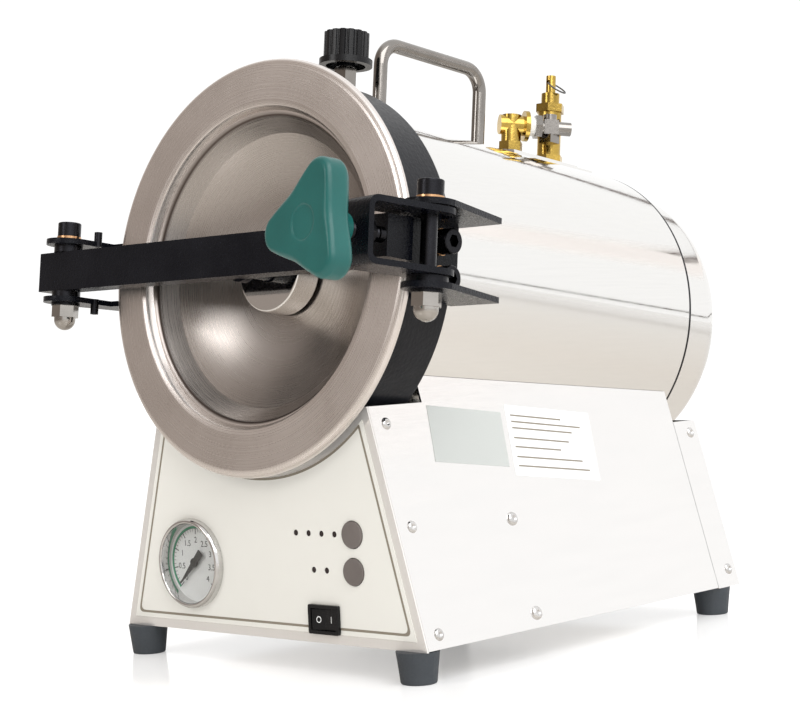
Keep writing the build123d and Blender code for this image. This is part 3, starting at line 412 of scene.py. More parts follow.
def stack(name, rings, frame_matrix, material, segments=144, closed=False):
    """Joins outlines (along, radius as a function of the angle) into one skin.

    The ends are capped, or the last outline is joined to the first when closed is true.
    """
    verts, faces = [], []
    for along, reach in rings:
        for k in range(segments):
            turn = 2 * pi * k / segments
            radius = reach(turn)
            verts.append(frame_matrix @ (Vector((radius * cos(turn), radius * sin(turn), along)) * MM))
    for i in range(len(rings) - 1):
        here, there = i * segments, (i + 1) * segments
        for k in range(segments):
            n = (k + 1) % segments
            faces.append((here + k, here + n, there + n, there + k))
    last = (len(rings) - 1) * segments
    if closed:
        for k in range(segments):
            n = (k + 1) % segments
            faces.append((last + k, last + n, n, k))
    else:
        faces.append(tuple(range(segments)))
        faces.append(tuple(last + k for k in range(segments)))
    return mesh_object(name, verts, faces, material)


def arc_points(start, stop, steps, bulge):
    """Points of a shallow arc from start to stop, bulging by the sagitta."""
    a, b = Vector(start), Vector(stop)
    middle = (a + b) / 2
    chord = (b - a).length
    radius = chord * chord / (8 * abs(bulge)) + abs(bulge) / 2
    normal = Vector((-(b - a).y, (b - a).x)).normalized() * (1 if bulge > 0 else -1)
    centre = middle - normal * sqrt(max(radius * radius - chord * chord / 4, 0))
    first, last = a - centre, b - centre
    total = first.angle(last)
    turn = 1 if first.x * last.y - first.y * last.x > 0 else -1
    out = []
    for k in range(steps + 1):
        angle = turn * total * k / steps
        x = first.x * cos(angle) - first.y * sin(angle)
        y = first.x * sin(angle) + first.y * cos(angle)
        out.append(centre + Vector((x, y)))
    return out


def swap(obj, node):
    """obj takes the CAD node's place and rides on its body."""
    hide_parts(node)
    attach(obj, BODY_OF[node])


# ---- chamber shell, rear cap, collar and door; profiles are (along, radius) -------------------------
CHAMBER_FRAME = axes(CHAMBER, ACROSS, UPWARD, ALONG)
NEAR_AXIS = 0.02
FINE_ROUND = 256

# The shell's two ends are hemmed inward.
SHELL_RADIUS = 92.4
SHELL_INSIDE = 91.4
SHELL_FRONT = 43.3
SHELL_BACK = 268.8
SHELL_HEMS = (60, 250)
shell_profile = rounded(
    [
        (SHELL_HEMS[0], SHELL_INSIDE),
        (SHELL_FRONT, SHELL_INSIDE),
        (SHELL_FRONT, SHELL_RADIUS),
        (SHELL_BACK, SHELL_RADIUS),
        (SHELL_BACK, SHELL_INSIDE),
        (SHELL_HEMS[1], SHELL_INSIDE),
    ],
    0.45,
)
shell = lathe("shell_skin", shell_profile, CHAMBER_FRAME, "mirror_steel", FINE_ROUND)
swap(shell, "outer_shell")

# A black ring laps the shell's back edge and closes the gap to the rear cap. Its black is painted shade,
# standing in for the dark line of that gap.
GAP_SHADE_LAP = 0.2
GAP_SHADE_BACK = 270.5
GAP_SHADE_INSIDE = 84.8
GAP_SHADE_THICK = 0.6
gap_shade_profile = rounded(
    [
        (SHELL_BACK - GAP_SHADE_LAP, SHELL_INSIDE + GAP_SHADE_LAP),
        (SHELL_BACK - GAP_SHADE_LAP, SHELL_RADIUS),
        (GAP_SHADE_BACK, SHELL_RADIUS),
        (GAP_SHADE_BACK, GAP_SHADE_INSIDE),
        (GAP_SHADE_BACK - GAP_SHADE_THICK, GAP_SHADE_INSIDE),
    ],
    0.3,
)
gap_shade_ring = lathe("shell_gap_painted_shade", gap_shade_profile, CHAMBER_FRAME, "black_oxide", FINE_ROUND)
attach(gap_shade_ring, "root")

CAP_RADIUS = 86.2
CAP_INSIDE = 85.0
CAP_FRONT = 273.5
CAP_HEM = 280
CAP_SHOULDER = 304
CAP_FACE = 316.9
CAP_FACE_RADIUS = 76.0
cap_profile = rounded(
    [
        (CAP_HEM, CAP_INSIDE),
        (CAP_FRONT, CAP_INSIDE),
        (CAP_FRONT, CAP_RADIUS),
        (CAP_SHOULDER, CAP_RADIUS),
        (CAP_FACE, CAP_FACE_RADIUS),
        (CAP_FACE, NEAR_AXIS),
    ],
    [0.5, 0.6, 7, 7],
    10,
)
swap(lathe("cap_skin", cap_profile, CHAMBER_FRAME, "mirror_steel", FINE_ROUND), "rear_cap")

COLLAR_RADIUS = 102.8
COLLAR_INSIDE = 99.3
COLLAR_NECK = 87.1
COLLAR_FRONT = 4.9
COLLAR_BACK = 42.9
COLLAR_WEB = 40.4
COLLAR_SEAM = (8, COLLAR_INSIDE)
collar_profile = rounded(
    [
        COLLAR_SEAM,
        (COLLAR_FRONT, COLLAR_INSIDE),
        (COLLAR_FRONT, COLLAR_RADIUS),
        (COLLAR_BACK, COLLAR_RADIUS),
        (COLLAR_BACK, COLLAR_NECK),
        (COLLAR_WEB, COLLAR_NECK),
        (COLLAR_WEB, COLLAR_INSIDE),
        COLLAR_SEAM,
    ],
    [0.8, 1.2, 1.2, 0.5, 0.5, 0.5],
)
swap(lathe("collar_skin", collar_profile, CHAMBER_FRAME, "collar_coat", FINE_ROUND), "collar")

DISH_CENTRE = (28.0, NEAR_AXIS)
DISH_FOOT = (8.6, 81.6)
DISH_BULGE = -9.0
STEP_TOP = (2.6, 84.2)
FLANGE_FACE = 0.2
FLANGE_BACK = 4.6
FLANGE_RADIUS = 110.5
DOME_EDGE = (FLANGE_BACK, 83.1)
DOME_CENTRE = (31.0, NEAR_AXIS)
DOME_BULGE = 12.5
dish_arc = [tuple(p) for p in arc_points(DISH_CENTRE, DISH_FOOT, 40, DISH_BULGE)]
dish = rounded(dish_arc + [STEP_TOP], 0.6, 2)
flange = rounded(
    [
        dish[-1],
        (0.9, 85.5),
        (FLANGE_FACE, 87.9),
        (FLANGE_FACE, 107.3),
        (1.2, 109.6),
        (2.8, FLANGE_RADIUS),
        (FLANGE_BACK, FLANGE_RADIUS),
        DOME_EDGE,
    ],
    [0.3, 1.0, 2.0, 1.2, 1.0, 0.5],
)
door_back = arc_points(DOME_EDGE, DOME_CENTRE, 24, DOME_BULGE)
door_profile = dish[:-1] + flange[:-1] + door_back
swap(lathe("door_skin", door_profile, CHAMBER_FRAME, "brushed_steel", FINE_ROUND), "door")

BOSS_RADIUS = 22.5
BOSS_FRONT = 13.0
BOSS_BACK = 27.9
STUD_BORE = 6.2
boss_profile = rounded(
    [
        (BOSS_BACK, BOSS_RADIUS),
        (BOSS_FRONT, BOSS_RADIUS),
        (BOSS_FRONT, STUD_BORE + 0.4),
        (16.0, STUD_BORE),
        (24.5, STUD_BORE),
    ],
    [1.4, 0.6, 0.4],
)
swap(lathe("boss_skin", boss_profile, CHAMBER_FRAME, "mirror_steel", 128), "door_boss")

# ---- the tri-lobed knob, on the clamp's axis --------------------------------------------------------
CLAMP_AXIS = Vector(JOINTS["clamp_turn"]["axis"]).normalized()
if CLAMP_AXIS.y > 0:
    CLAMP_AXIS = -CLAMP_AXIS
SCREW_POINT = Vector(JOINTS["clamp_turn"]["pos_m"])
YOKE_PIVOT = Vector(JOINTS["yoke_swing"]["pos_m"])
CLAMP_ORIGIN = SCREW_POINT + CLAMP_AXIS * ((YOKE_PIVOT - SCREW_POINT).dot(CLAMP_AXIS))
CLAMP_FRAME = axes(CLAMP_ORIGIN, UPWARD.cross(CLAMP_AXIS), UPWARD, CLAMP_AXIS)
HUB_START = 50.2
HUB_RADIUS = 7.6
HUB_LENGTH = 7.5
LOBE_ANGLE = radians(188)
TIP_RADIUS = 8.8
TIP_REACH = 22.0
SIDE_REACH = TIP_REACH / 2 + TIP_RADIUS
TIP_SPAN = atan(TIP_RADIUS * sin(pi / 3) / (TIP_REACH + TIP_RADIUS / 2))
SIDE_HOLLOW = 1.0
BACK_EDGE = 2.2
BACK_BEND = 3.0
FACE_EDGE = 3.6
BODY_START = 11.4
BODY_STOP = 20.6
FACE_HEIGHT = 23.9
MEDALLION = 8.6


def knob_outline(turn):
    """Three rounded lobes joined by slightly hollow sides."""
    third = 2 * pi / 3
    near = abs((turn - LOBE_ANGLE + third / 2) % third - third / 2)
    if near < TIP_SPAN:
        off = TIP_REACH * sin(near)
        return TIP_REACH * cos(near) + sqrt(TIP_RADIUS ** 2 - off ** 2)
    share = (near - TIP_SPAN) / (third / 2 - TIP_SPAN)
    return SIDE_REACH / cos(third / 2 - near) - SIDE_HOLLOW * (1 - cos(pi * share)) / 2


def lobed(inset, share=1.0, core=0.0):
    """Outline of the knob, drawn in by inset and blended towards a circle of radius core."""

    def reach(turn):
        return (knob_outline(turn) - inset) * share + core * (1 - share)

    return reach


def knob_skin():
    """A hub that flares into the lobed body, and a shallow round hollow in the middle of its face."""
    rings = [
        (0.0, lobed(0, 0, 6.0)),
        (0.0, lobed(0, 0, 7.0)),
        (0.4, lobed(0, 0, 7.5)),
        (HUB_LENGTH, lobed(0, 0, HUB_RADIUS)),
    ]
    for k in range(1, 7):
        t = k / 6
        flare = lobed(4 * (1 - t) + BACK_EDGE, t ** 0.6 * 0.9 + 0.1 * t, 7.8)
        rings.append((HUB_LENGTH + 3.2 * t ** 1.5, flare))
    for k in range(1, 7):
        a = k / 6 * pi / 2
        rings.append((BODY_START + BACK_BEND * (1 - cos(a)), lobed(BACK_EDGE * (1 - sin(a)))))
    for k in range(0, 9):
        a = k / 8 * pi / 2
        rise = FACE_HEIGHT - BODY_STOP
        rings.append((BODY_STOP + rise * sin(a), lobed(FACE_EDGE * (1 - cos(a)))))
    for share in (0.9, 0.75, 0.55, 0.35, 0.2, 0.08, 0.0):
        rings.append((FACE_HEIGHT, lobed(FACE_EDGE, share, MEDALLION)))
    hollow = ((0.2, 8.3), (0.5, 8.0), (0.6, 7.4), (0.6, 4.0), (0.6, 0.1))
    rings += [(FACE_HEIGHT - sunk, lobed(0, 0, radius)) for sunk, radius in hollow]
    placed = CLAMP_FRAME @ Matrix.Translation((0, 0, HUB_START * MM))
    return stack("knob_skin", rings, placed, "teal_plastic", 180)


swap(knob_skin(), "clamp_knob")

SCREW_START = 31.6
SCREW_STOP = 63.0
SCREW_PITCH = 1.25
SCREW_CREST = 3.94
SCREW_ROOT = 3.25
SCREW_TIP_BORE = 1.56


def screw_skin():
    """The clamp's screw with its thread cut as close grooves."""
    profile = [(SCREW_START, SCREW_TIP_BORE), (SCREW_START, SCREW_ROOT)]
    along = SCREW_START + 0.4
    while along + SCREW_PITCH < SCREW_STOP:
        profile.append((along, SCREW_ROOT))
        profile.append((along + 0.40 * SCREW_PITCH, SCREW_CREST))
        profile.append((along + 0.55 * SCREW_PITCH, SCREW_CREST))
        profile.append((along + 0.95 * SCREW_PITCH, SCREW_ROOT))
        along += SCREW_PITCH
    profile += [(SCREW_STOP, SCREW_ROOT), (SCREW_STOP, NEAR_AXIS)]
    skin = lathe("screw_skin", profile, CLAMP_FRAME, "black_oxide", 64)
    skin.modifiers.clear()
    return skin


swap(screw_skin(), "clamp_screw")

# ---- the yoke: places are along the clamp's axis from the bolt, across it and up --------------------
YOKE_LOW = -14.5
YOKE_HIGH = 17.5
YOKE_PLATE = 3.0
YOKE_REACH = 46.0
YOKE_HALF = 12.5
YOKE_BEND = 6.0
SLOT_HALF = 4.7
SLOT_END = 4.0
SCREW_BORE = 4.05
YOKE_MIDDLE = (YOKE_LOW + YOKE_HIGH) / 2
BOLT_POINT = CLAMP_ORIGIN - UPWARD * (YOKE_MIDDLE * MM)
BOLT_FRAME = axes(BOLT_POINT, UPWARD.cross(CLAMP_AXIS), UPWARD, CLAMP_AXIS)
YOKE_CUTS = (-YOKE_HALF + 0.02, -11.5, -9.0, -6.5, -4.0, 0.0, SLOT_END, 12.0, 24.0)
SLOT_CUTS = YOKE_CUTS.index(SLOT_END)


def strap_line(inset):
    """The bent strap seen from the side, drawn in by inset, with a point at every cut of its flanges."""
    corners = [
        (-YOKE_HALF, YOKE_HIGH - inset),
        (YOKE_REACH - inset, YOKE_HIGH - inset),
        (YOKE_REACH - inset, YOKE_LOW + inset),
        (-YOKE_HALF, YOKE_LOW + inset),
    ]
    line = [tuple(p) for p in rounded(corners, YOKE_BEND - inset, 8)]
    above = [(along, line[0][1]) for along in YOKE_CUTS]
    below = [(along, line[-1][1]) for along in reversed(YOKE_CUTS)]
    return above + line[1:-1] + below


def strap_row(along):
    """Where the strap's two edges and the sides of its slot lie across it, at one place along it."""
    half = sqrt(max(YOKE_HALF ** 2 - along ** 2, 0.0)) if along < 0 else YOKE_HALF
    slot = SLOT_HALF if along < 0 else sqrt(max(SLOT_HALF ** 2 - along ** 2, 0.0))
    slot = min(slot, half * 0.98)
    if along > SLOT_END:
        slot = SCREW_BORE * 0.7
    return (-half, -slot, slot, half)


def yoke_skin():
    """A bent strap: two flanges with rounded, slotted ends, joined by a web."""
    bm = bmesh.new()
    top, under = (
        [
            [bm.verts.new(BOLT_FRAME @ (Vector((x, up, along)) * MM)) for x in strap_row(along)]
            for along, up in strap_line(inset)
        ]
        for inset in (0, YOKE_PLATE)
    )
    last = len(top) - 1
    for i in range(last):
        slotted = min(i, last - 1 - i) < SLOT_CUTS
        for k in range(3):
            if k == 1 and slotted:
                continue
            bm.faces.new((top[i][k], top[i][k + 1], top[i + 1][k + 1], top[i + 1][k]))
            bm.faces.new((under[i][k + 1], under[i][k], under[i + 1][k], under[i + 1][k + 1]))
        for k in (0, 1, 2, 3) if slotted else (0, 3):
            bm.faces.new((top[i][k], top[i + 1][k], under[i + 1][k], under[i][k]))
    for i in (0, last):
        for k in (0, 2):
            bm.faces.new((top[i][k], top[i][k + 1], under[i][k + 1], under[i][k]))
    for i in (SLOT_CUTS, last - SLOT_CUTS):
        bm.faces.new((top[i][1], top[i][2], under[i][2], under[i][1]))
    bmesh.ops.remove_doubles(bm, verts=bm.verts, dist=WELD)
    bmesh.ops.recalc_face_normals(bm, faces=bm.faces)
    mesh = bpy.data.meshes.new("yoke_skin")
    bm.to_mesh(mesh)
    bm.free()
    obj = bpy.data.objects.new("yoke_skin", mesh)
    bpy.context.scene.collection.objects.link(obj)
    mesh.materials.append(MATERIALS["black_coat"])
    for polygon in mesh.polygons:
        polygon.use_smooth = True
    edge = obj.modifiers.new("edge", "BEVEL")
    edge.width = 0.5 * MM
    edge.segments = 2
    edge.limit_method = "ANGLE"
    edge.angle_limit = radians(50)
    obj.modifiers.new("even_shading", "WEIGHTED_NORMAL").keep_sharp = True
    return obj


swap(yoke_skin(), "yoke")

# ---- pressure gauge -----------------------------------------------------------------------------
GAUGE = Vector(JOINTS["pressure_reading"]["pos_m"])
DIAL_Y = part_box("gauge_dial")[0].y
FRONT = Vector((0, -1, 0))
UP = Vector((0, 0, 1))
GAUGE_FRAME = axes(Vector((GAUGE.x, PANEL_Y, GAUGE.z)), ACROSS, UP, FRONT)
START_ANGLE = 225.0
SWEEP = 270.0
MAJOR_TICKS = 8
TICKS_BETWEEN = 5
TICK_OUTSIDE = 18.4
GREEN_END = 60
NUMBER_REACH = 12.2
NUMBER_SIZE = 4.6
NUMBER_STEP = 0.5


def dial_point(reach, degrees, lift=0.06):
    """A point on the dial's face, at a reach from its middle in millimetres."""
    turn = radians(degrees)
    return Vector((GAUGE.x + reach * MM * cos(turn), DIAL_Y - lift * MM, GAUGE.z + reach * MM * sin(turn)))


def flat_piece(name, loops, material, thick=0.04):
    """Thin solid printing: each loop is a list of points on the front face, pushed back by thick."""
    verts, faces = [], []
    for loop in loops:
        base, n = len(verts), len(loop)
        verts += loop + [p + Vector((0, thick * MM, 0)) for p in loop]
        faces.append(tuple(base + k for k in range(n)))
        faces.append(tuple(base + n + k for k in reversed(range(n))))
        for k in range(n):
            m = (k + 1) % n
            faces.append((base + k, base + n + k, base + n + m, base + m))
    return mesh_object(name, verts, faces, material, smooth=False)


def tick(degrees, inner, outer, width):
    """A radial stroke on the dial."""
    side = radians(degrees + 90)
    step = Vector((cos(side), 0, sin(side))) * (width / 2 * MM)
    a, b = dial_point(inner, degrees), dial_point(outer, degrees)
    return [a - step, b - step, b + step, a + step]


def band(inner, outer, first, last, steps=40):
    """An arc of the dial from one angle to another, in short pieces."""
    loops = []
    for k in range(steps):
        a = first + (last - first) * k / steps
        b = first + (last - first) * (k + 1) / steps
        loops.append([dial_point(inner, a), dial_point(outer, a), dial_point(outer, b), dial_point(inner, b)])
    return loops


def dial_figure(number, degrees):
    """A raised figure on the dial, made as a mesh where it stands."""
    curve = bpy.data.curves.new("dial_number", "FONT")
    curve.body = f"{number * NUMBER_STEP:g}"
    curve.size = NUMBER_SIZE * MM
    curve.align_x = "CENTER"
    curve.align_y = "CENTER"
    curve.extrude = 0.02 * MM
    curve.resolution_u = 3
    text = bpy.data.objects.new(f"dial_number_{number}", curve)
    bpy.context.scene.collection.objects.link(text)
    text.matrix_world = axes(dial_point(NUMBER_REACH, degrees, 0.08), ACROSS, UP, FRONT)
    bpy.context.view_layer.update()
    flat = bpy.data.meshes.new_from_object(text.evaluated_get(bpy.context.evaluated_depsgraph_get()))
    flat.transform(text.matrix_world)
    figure = bpy.data.objects.new(f"dial_figure_{number}", flat)
    bpy.context.scene.collection.objects.link(figure)
    bpy.data.objects.remove(text)
    flat.materials.clear()
    flat.materials.append(MATERIALS["pointer_black"])
    return figure


def dial_printing():
    """Ticks, the working range in green, a thin black arc and the numbers."""
    ticks = []
    small = MAJOR_TICKS * TICKS_BETWEEN
    for k in range(small + 1):
        angle = START_ANGLE - SWEEP * k / small
        major = k % TICKS_BETWEEN == 0
        ticks.append(tick(angle, 15.4 if major else 16.8, TICK_OUTSIDE, 0.55 if major else 0.22))
    stop_angle = START_ANGLE - SWEEP
    pieces = [
        flat_piece("dial_ticks", ticks, "pointer_black"),
        flat_piece("dial_green_arc", band(18.6, 19.9, START_ANGLE, GREEN_END), "dial_green"),
        flat_piece("dial_black_arc", band(18.45, 18.6, START_ANGLE, stop_angle, 70), "pointer_black"),
    ]
    for k in range(MAJOR_TICKS + 1):
        pieces.append(dial_figure(k, START_ANGLE - SWEEP * k / MAJOR_TICKS))
    for piece in pieces:
        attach(piece, "root")


dial_printing()
NODES["gauge_lens"].visible_shadow = False


BEZEL_RADIUS = 24.3
BEZEL_HEIGHT = 4.9
CASE_RADIUS = 22.3
CASE_DEPTH = 24
GLASS_SEAT = 20.6
RIB_COUNT = 90
RIB_DEPTH = 0.16


def bezel():
    """The gauge's case and its rounded bezel, open at the front for the dial."""
    rim = rounded(
        [
            (-2, BEZEL_RADIUS),
            (0.7, BEZEL_RADIUS),
            (3.4, BEZEL_RADIUS - 0.1),
            (BEZEL_HEIGHT, 23.2),
            (BEZEL_HEIGHT, 21.9),
            (3.6, 21.5),
            (-4.0, 21.3),
            (-4.0, GLASS_SEAT),
            (-22.5, GLASS_SEAT),
        ],
        [0.3, 0.5, 0.8, 0.8, 0.5, 0.3, 0.3],
    )
    case = [(-CASE_DEPTH, NEAR_AXIS), (-CASE_DEPTH, CASE_RADIUS), (-2, CASE_RADIUS)]
    return lathe("gauge_bezel", case + [tuple(p) for p in rim], GAUGE_FRAME, "bezel_chrome", 192)


swap(bezel(), "gauge_case")


def knurled_ring():
    """The ribbed rim that stands on the overlay round the gauge."""
    rings = []
    for along, outside in ((0.55, 23.8), (0.7, 24.35), (2.6, 24.35), (3.0, 24.0), (2.0, 23.6)):
        rings.append((along, lambda turn, r=outside: r - RIB_DEPTH * (1 + cos(RIB_COUNT * turn)) / 2))
    return stack("gauge_rim_ribs", rings, GAUGE_FRAME, "bezel_chrome", 8 * RIB_COUNT, closed=True)


ribs_piece = knurled_ring()
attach(ribs_piece, "root")

# ---- the front overlay's printed border, and the switch's marks --------------------------------------
OVERLAY_LOW, OVERLAY_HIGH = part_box("front_overlay")
SIDE_SLOPE = 0.28
COLLAR_CLEAR = 108.2
BORDER_INSET = 2.4
BORDER_WIDTH = 1.3
PRINT_LIFT = 0.04


def overlay_outline(inset):
    """The overlay's outline drawn in by inset: sloping sides, and the collar's arc bitten out of the top."""
    low = OVERLAY_LOW.z / MM + inset
    high = OVERLAY_HIGH.z / MM - inset
    corner = OVERLAY_HIGH.x / MM - inset * sqrt(1 + SIDE_SLOPE ** 2)
    wide_low = corner - SIDE_SLOPE * inset
    wide_high = corner - SIDE_SLOPE * (high - OVERLAY_LOW.z / MM)
    middle = CHAMBER.z / MM
    arc = COLLAR_CLEAR + inset
    first = sqrt(arc * arc - (middle - high) ** 2)
    bite = []
    for k in range(1, 21):
        x = first - 2 * first * k / 40
        bite.append((x, middle - sqrt(arc * arc - x * x)))
    ring = rounded(
        [(0, low), (wide_low, low), (wide_high, high), (first, high), bite[0]],
        [4.0, 2.5, 1.0],
    )
    half = [tuple(p) for p in ring] + bite[1:]
    other = [(-x, z) for x, z in reversed(half[:-1])]
    y = OVERLAY_LOW.y - PRINT_LIFT * MM
    return [Vector((x * MM, y, z * MM)) for x, z in half + other[:-1]]


def overlay_border():
    """The line printed round the front overlay, a little inside its edge."""
    outline = overlay_outline(BORDER_INSET)
    inner = overlay_outline(BORDER_INSET + BORDER_WIDTH)
    loops = []
    count = len(outline)
    for k in range(count):
        n = (k + 1) % count
        loops.append([outline[k], outline[n], inner[n], inner[k]])
    piece = flat_piece("overlay_border", loops, "overlay_line", 0.02)
    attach(piece, "root")


overlay_border()

RING_POINTS = 28
RING_INSIDE = 1.05
RING_OUTSIDE = 1.4
RING_STRETCH = 1.2
BAR_HALF_WIDTH = 0.2
BAR_HALF_HEIGHT = 1.7


def rocker_marks():
    """The usual ring and bar of a power switch, printed on the rocker's two faces."""
    # The two faces meet in a ridge, and those three lines are the rocker's front-most.
    spots = sorted({(round(v.co.x, 6), round(v.co.y, 6)) for v in NODES["rocker"].data.vertices})
    left, ridge, right = sorted(sorted(spots, key=lambda p: p[1])[:3])
    low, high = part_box("rocker")
    height = (low.z + high.z) / 2
    loops = []

    def on_face(start, stop, share, across, up):
        """A point on the sloping face that runs from start to stop, standing just proud of it."""
        a, b = Vector((*start, height)), Vector((*stop, height))
        step = (b - a).normalized()
        out = Vector((step.y, -step.x, 0))
        return a + (b - a) * share + step * (across * MM) + Vector((0, 0, up * MM)) + out * (0.03 * MM)

    for k in range(RING_POINTS):
        first, second = 2 * pi * k / RING_POINTS, 2 * pi * (k + 1) / RING_POINTS
        corners = (
            (RING_INSIDE, first),
            (RING_OUTSIDE, first),
            (RING_OUTSIDE, second),
            (RING_INSIDE, second),
        )
        loops.append([
            on_face(left, ridge, 0.5, reach * cos(turn), reach * RING_STRETCH * sin(turn))
            for reach, turn in corners
        ])
    bar = (
        (-BAR_HALF_WIDTH, -BAR_HALF_HEIGHT),
        (BAR_HALF_WIDTH, -BAR_HALF_HEIGHT),
        (BAR_HALF_WIDTH, BAR_HALF_HEIGHT),
        (-BAR_HALF_WIDTH, BAR_HALF_HEIGHT),
    )
    loops.append([on_face(ridge, right, 0.5, across, up) for across, up in bar])
    piece = flat_piece("rocker_marks", loops, "white_dial", 0.02)
    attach(piece, "rocker")


rocker_marks()

# ---- domed heads on the rivets and screws -----------------------------------------------------------
WALL_OUT = Vector((1, 0, SIDE_SLOPE)).normalized()
WALL_UP = Vector((-SIDE_SLOPE, 0, 1)).normalized()
BACK = Vector((0, 1, 0))
REAR_BAND = 6.0
HEAD_BAND = 2.2


def islands(node):
    """The separate solids of a CAD node, as lists of points."""
    bm = bmesh.new()
    bm.from_mesh(NODES[node].data)
    bmesh.ops.remove_doubles(bm, verts=bm.verts, dist=1e-6)
    left, found = set(bm.verts), []
    while left:
        queue = [left.pop()]
        points = []
        while queue:
            vert = queue.pop()
            points.append(vert.co.copy())
            for edge in vert.link_edges:
                other = edge.other_vert(vert)
                if other in left:
                    left.remove(other)
                    queue.append(other)
        found.append(points)
    bm.free()
    return found


def fastener_axis(points):
    """Outward direction of a fastener, square to the wall it stands on, and its middle."""
    centre = sum(points, Vector()) / len(points)
    if centre.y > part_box("rear_cover")[1].y - REAR_BAND * MM:
        return BACK, centre
    side = 1 if centre.x > 0 else -1
    return Vector((side * WALL_OUT.x, 0, WALL_OUT.z)), centre


def head_skins(node, dimple):
    """Domed heads with a round dimple, over the CAD heads."""
    skins = []
    for number, points in enumerate(islands(node)):
        out, centre = fastener_axis(points)
        face = max(p.dot(out) for p in points)
        near = [p for p in points if p.dot(out) > face - HEAD_BAND * MM]
        flat = [p - out * (p - centre).dot(out) for p in near]
        reach = max((p - centre).length for p in flat) / MM
        across = out.cross(BACK if abs(out.y) < 0.5 else ACROSS).normalized()
        origin = centre - out * centre.dot(out) + out * face
        placed = axes(origin, across, out.cross(across), out)
        dome = [(-1.9, reach), (-1.3, reach), (-0.7, reach * 0.9), (-0.25, reach * 0.68), (0.0, reach * 0.42)]
        profile = dome + [(-0.1, reach * 0.36), (-dimple, reach * 0.3), (-dimple, NEAR_AXIS)]
        skins.append(lathe(f"{node}_head_{number}", profile, placed, "bezel_chrome", 40))
    return joined(f"{node}_heads", skins)


def joined(name, pieces):
    """One object from several that share a material; the first one's modifiers are kept."""
    bm = bmesh.new()
    for piece in pieces:
        bm.from_mesh(piece.data)
    for piece in pieces[1:]:
        bpy.data.objects.remove(piece)
    keeper = pieces[0]
    bm.to_mesh(keeper.data)
    bm.free()
    keeper.name = name
    for polygon in keeper.data.polygons:
        polygon.use_smooth = True
    return keeper


swap(head_skins("rivets", 0.9), "rivets")
swap(head_skins("side_screws", 0.7), "side_screws")

# ---- the two plates on the right wall, turned level with the chamber --------------------------------
WALL_LOW, WALL_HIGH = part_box("side_labels")
PLATE_DEPTH = 0.2
PLATE_LIFT = 13.0
GREY_WIDTH = 57
GREY_HEIGHT = 30
GREY_START = 42.0
RATING_WIDTH = 71
RATING_HEIGHT = 39
RATING_START = 102.5
RULE_START = 106.0
RULE_HEIGHT = 0.9
RULES = ((33.0, 42), (29.5, 58), (26.0, 50), (20.5, 46), (15.5, 38), (10.0, 55), (5.0, 60))
BOX_FACES = ((0, 1, 2, 3), (4, 5, 6, 7), (0, 1, 5, 4), (1, 2, 6, 5), (2, 3, 7, 6), (3, 0, 4, 7))


def on_wall(y, up, lift):
    """A point over the right wall: y behind the front panel, and up the wall from the plates' lower edge."""
    start = Vector((WALL_HIGH.x, PANEL_Y, WALL_LOW.z)) - WALL_OUT * (PLATE_DEPTH * MM)
    return start + BACK * (y * MM) + WALL_UP * (up * MM) + WALL_OUT * (lift * MM)


def wall_slab(name, bars, pivot, low, high, material):
    """Flat rectangles (y, up, width, height) on the wall, from low to high, turned about the pivot."""
    verts, faces = [], []
    sag, level = -ALONG.z, ALONG.y
    for y, up, width, height in bars:
        base = len(verts)
        corners = []
        for a, b in ((y, up), (y + width, up), (y + width, up + height), (y, up + height)):
            aside, above = a - pivot[0], b - pivot[1]
            corners.append((
                pivot[0] + aside * level + above * sag,
                pivot[1] + above * level - aside * sag,
            ))
        verts += [on_wall(a, b, low) for a, b in corners]
        verts += [on_wall(a, b, high) for a, b in corners]
        faces += [tuple(base + k for k in f) for f in BOX_FACES]
    return mesh_object(name, verts, faces, material, smooth=False)


GREY_MIDDLE = (GREY_START + GREY_WIDTH / 2, PLATE_LIFT + GREY_HEIGHT / 2)
GREY_BARS = [(GREY_START, PLATE_LIFT, GREY_WIDTH, GREY_HEIGHT)]
swap(wall_slab("grey_plate", GREY_BARS, GREY_MIDDLE, 0.0, PLATE_DEPTH, "label_film"), "side_labels")

RATING_MIDDLE = (RATING_START + RATING_WIDTH / 2, RATING_HEIGHT / 2)
RATING_BARS = [(RATING_START, 0, RATING_WIDTH, RATING_HEIGHT)]
rating = wall_slab("rating_plate", RATING_BARS, RATING_MIDDLE, 0.0, PLATE_DEPTH, "plate_film")
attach(rating, "root")

RULE_BARS = [(RULE_START, up, width, RULE_HEIGHT) for up, width in RULES]
RULE_TOP = PLATE_DEPTH + 0.02
rules = wall_slab("plate_rules", RULE_BARS, RATING_MIDDLE, PLATE_DEPTH, RULE_TOP, "overlay_line")
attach(rules, "root")

# ---- studio: the camera stands where the photograph was taken from ----------------------------------
CAMERA_X = 739.24
CAMERA_AHEAD = 693.83
CAMERA_Z = 166.38
YAW = radians(42.52)
PITCH = radians(-0.36)
ROLL = radians(-2.55)
FOCAL_SHARE = 2.416925
SENSOR = 36.0


def make_camera():
    ahead = Vector((-sin(YAW) * cos(PITCH), cos(YAW) * cos(PITCH), sin(PITCH)))
    right = Vector((cos(YAW), sin(YAW), 0))
    top = right.cross(ahead)
    rolled_right = right * cos(ROLL) + top * sin(ROLL)
    rolled_top = top * cos(ROLL) - right * sin(ROLL)
    data = bpy.data.cameras.new("camera")
    data.sensor_width = SENSOR
    data.lens = FOCAL_SHARE * SENSOR
    data.clip_start = 0.05
    data.clip_end = 50
    camera = bpy.data.objects.new("camera", data)
    bpy.context.scene.collection.objects.link(camera)
    place = Vector((CAMERA_X * MM, PANEL_Y - CAMERA_AHEAD * MM, CAMERA_Z * MM))
    camera.matrix_world = axes(place, rolled_right, rolled_top, -ahead)
    bpy.context.scene.camera = camera


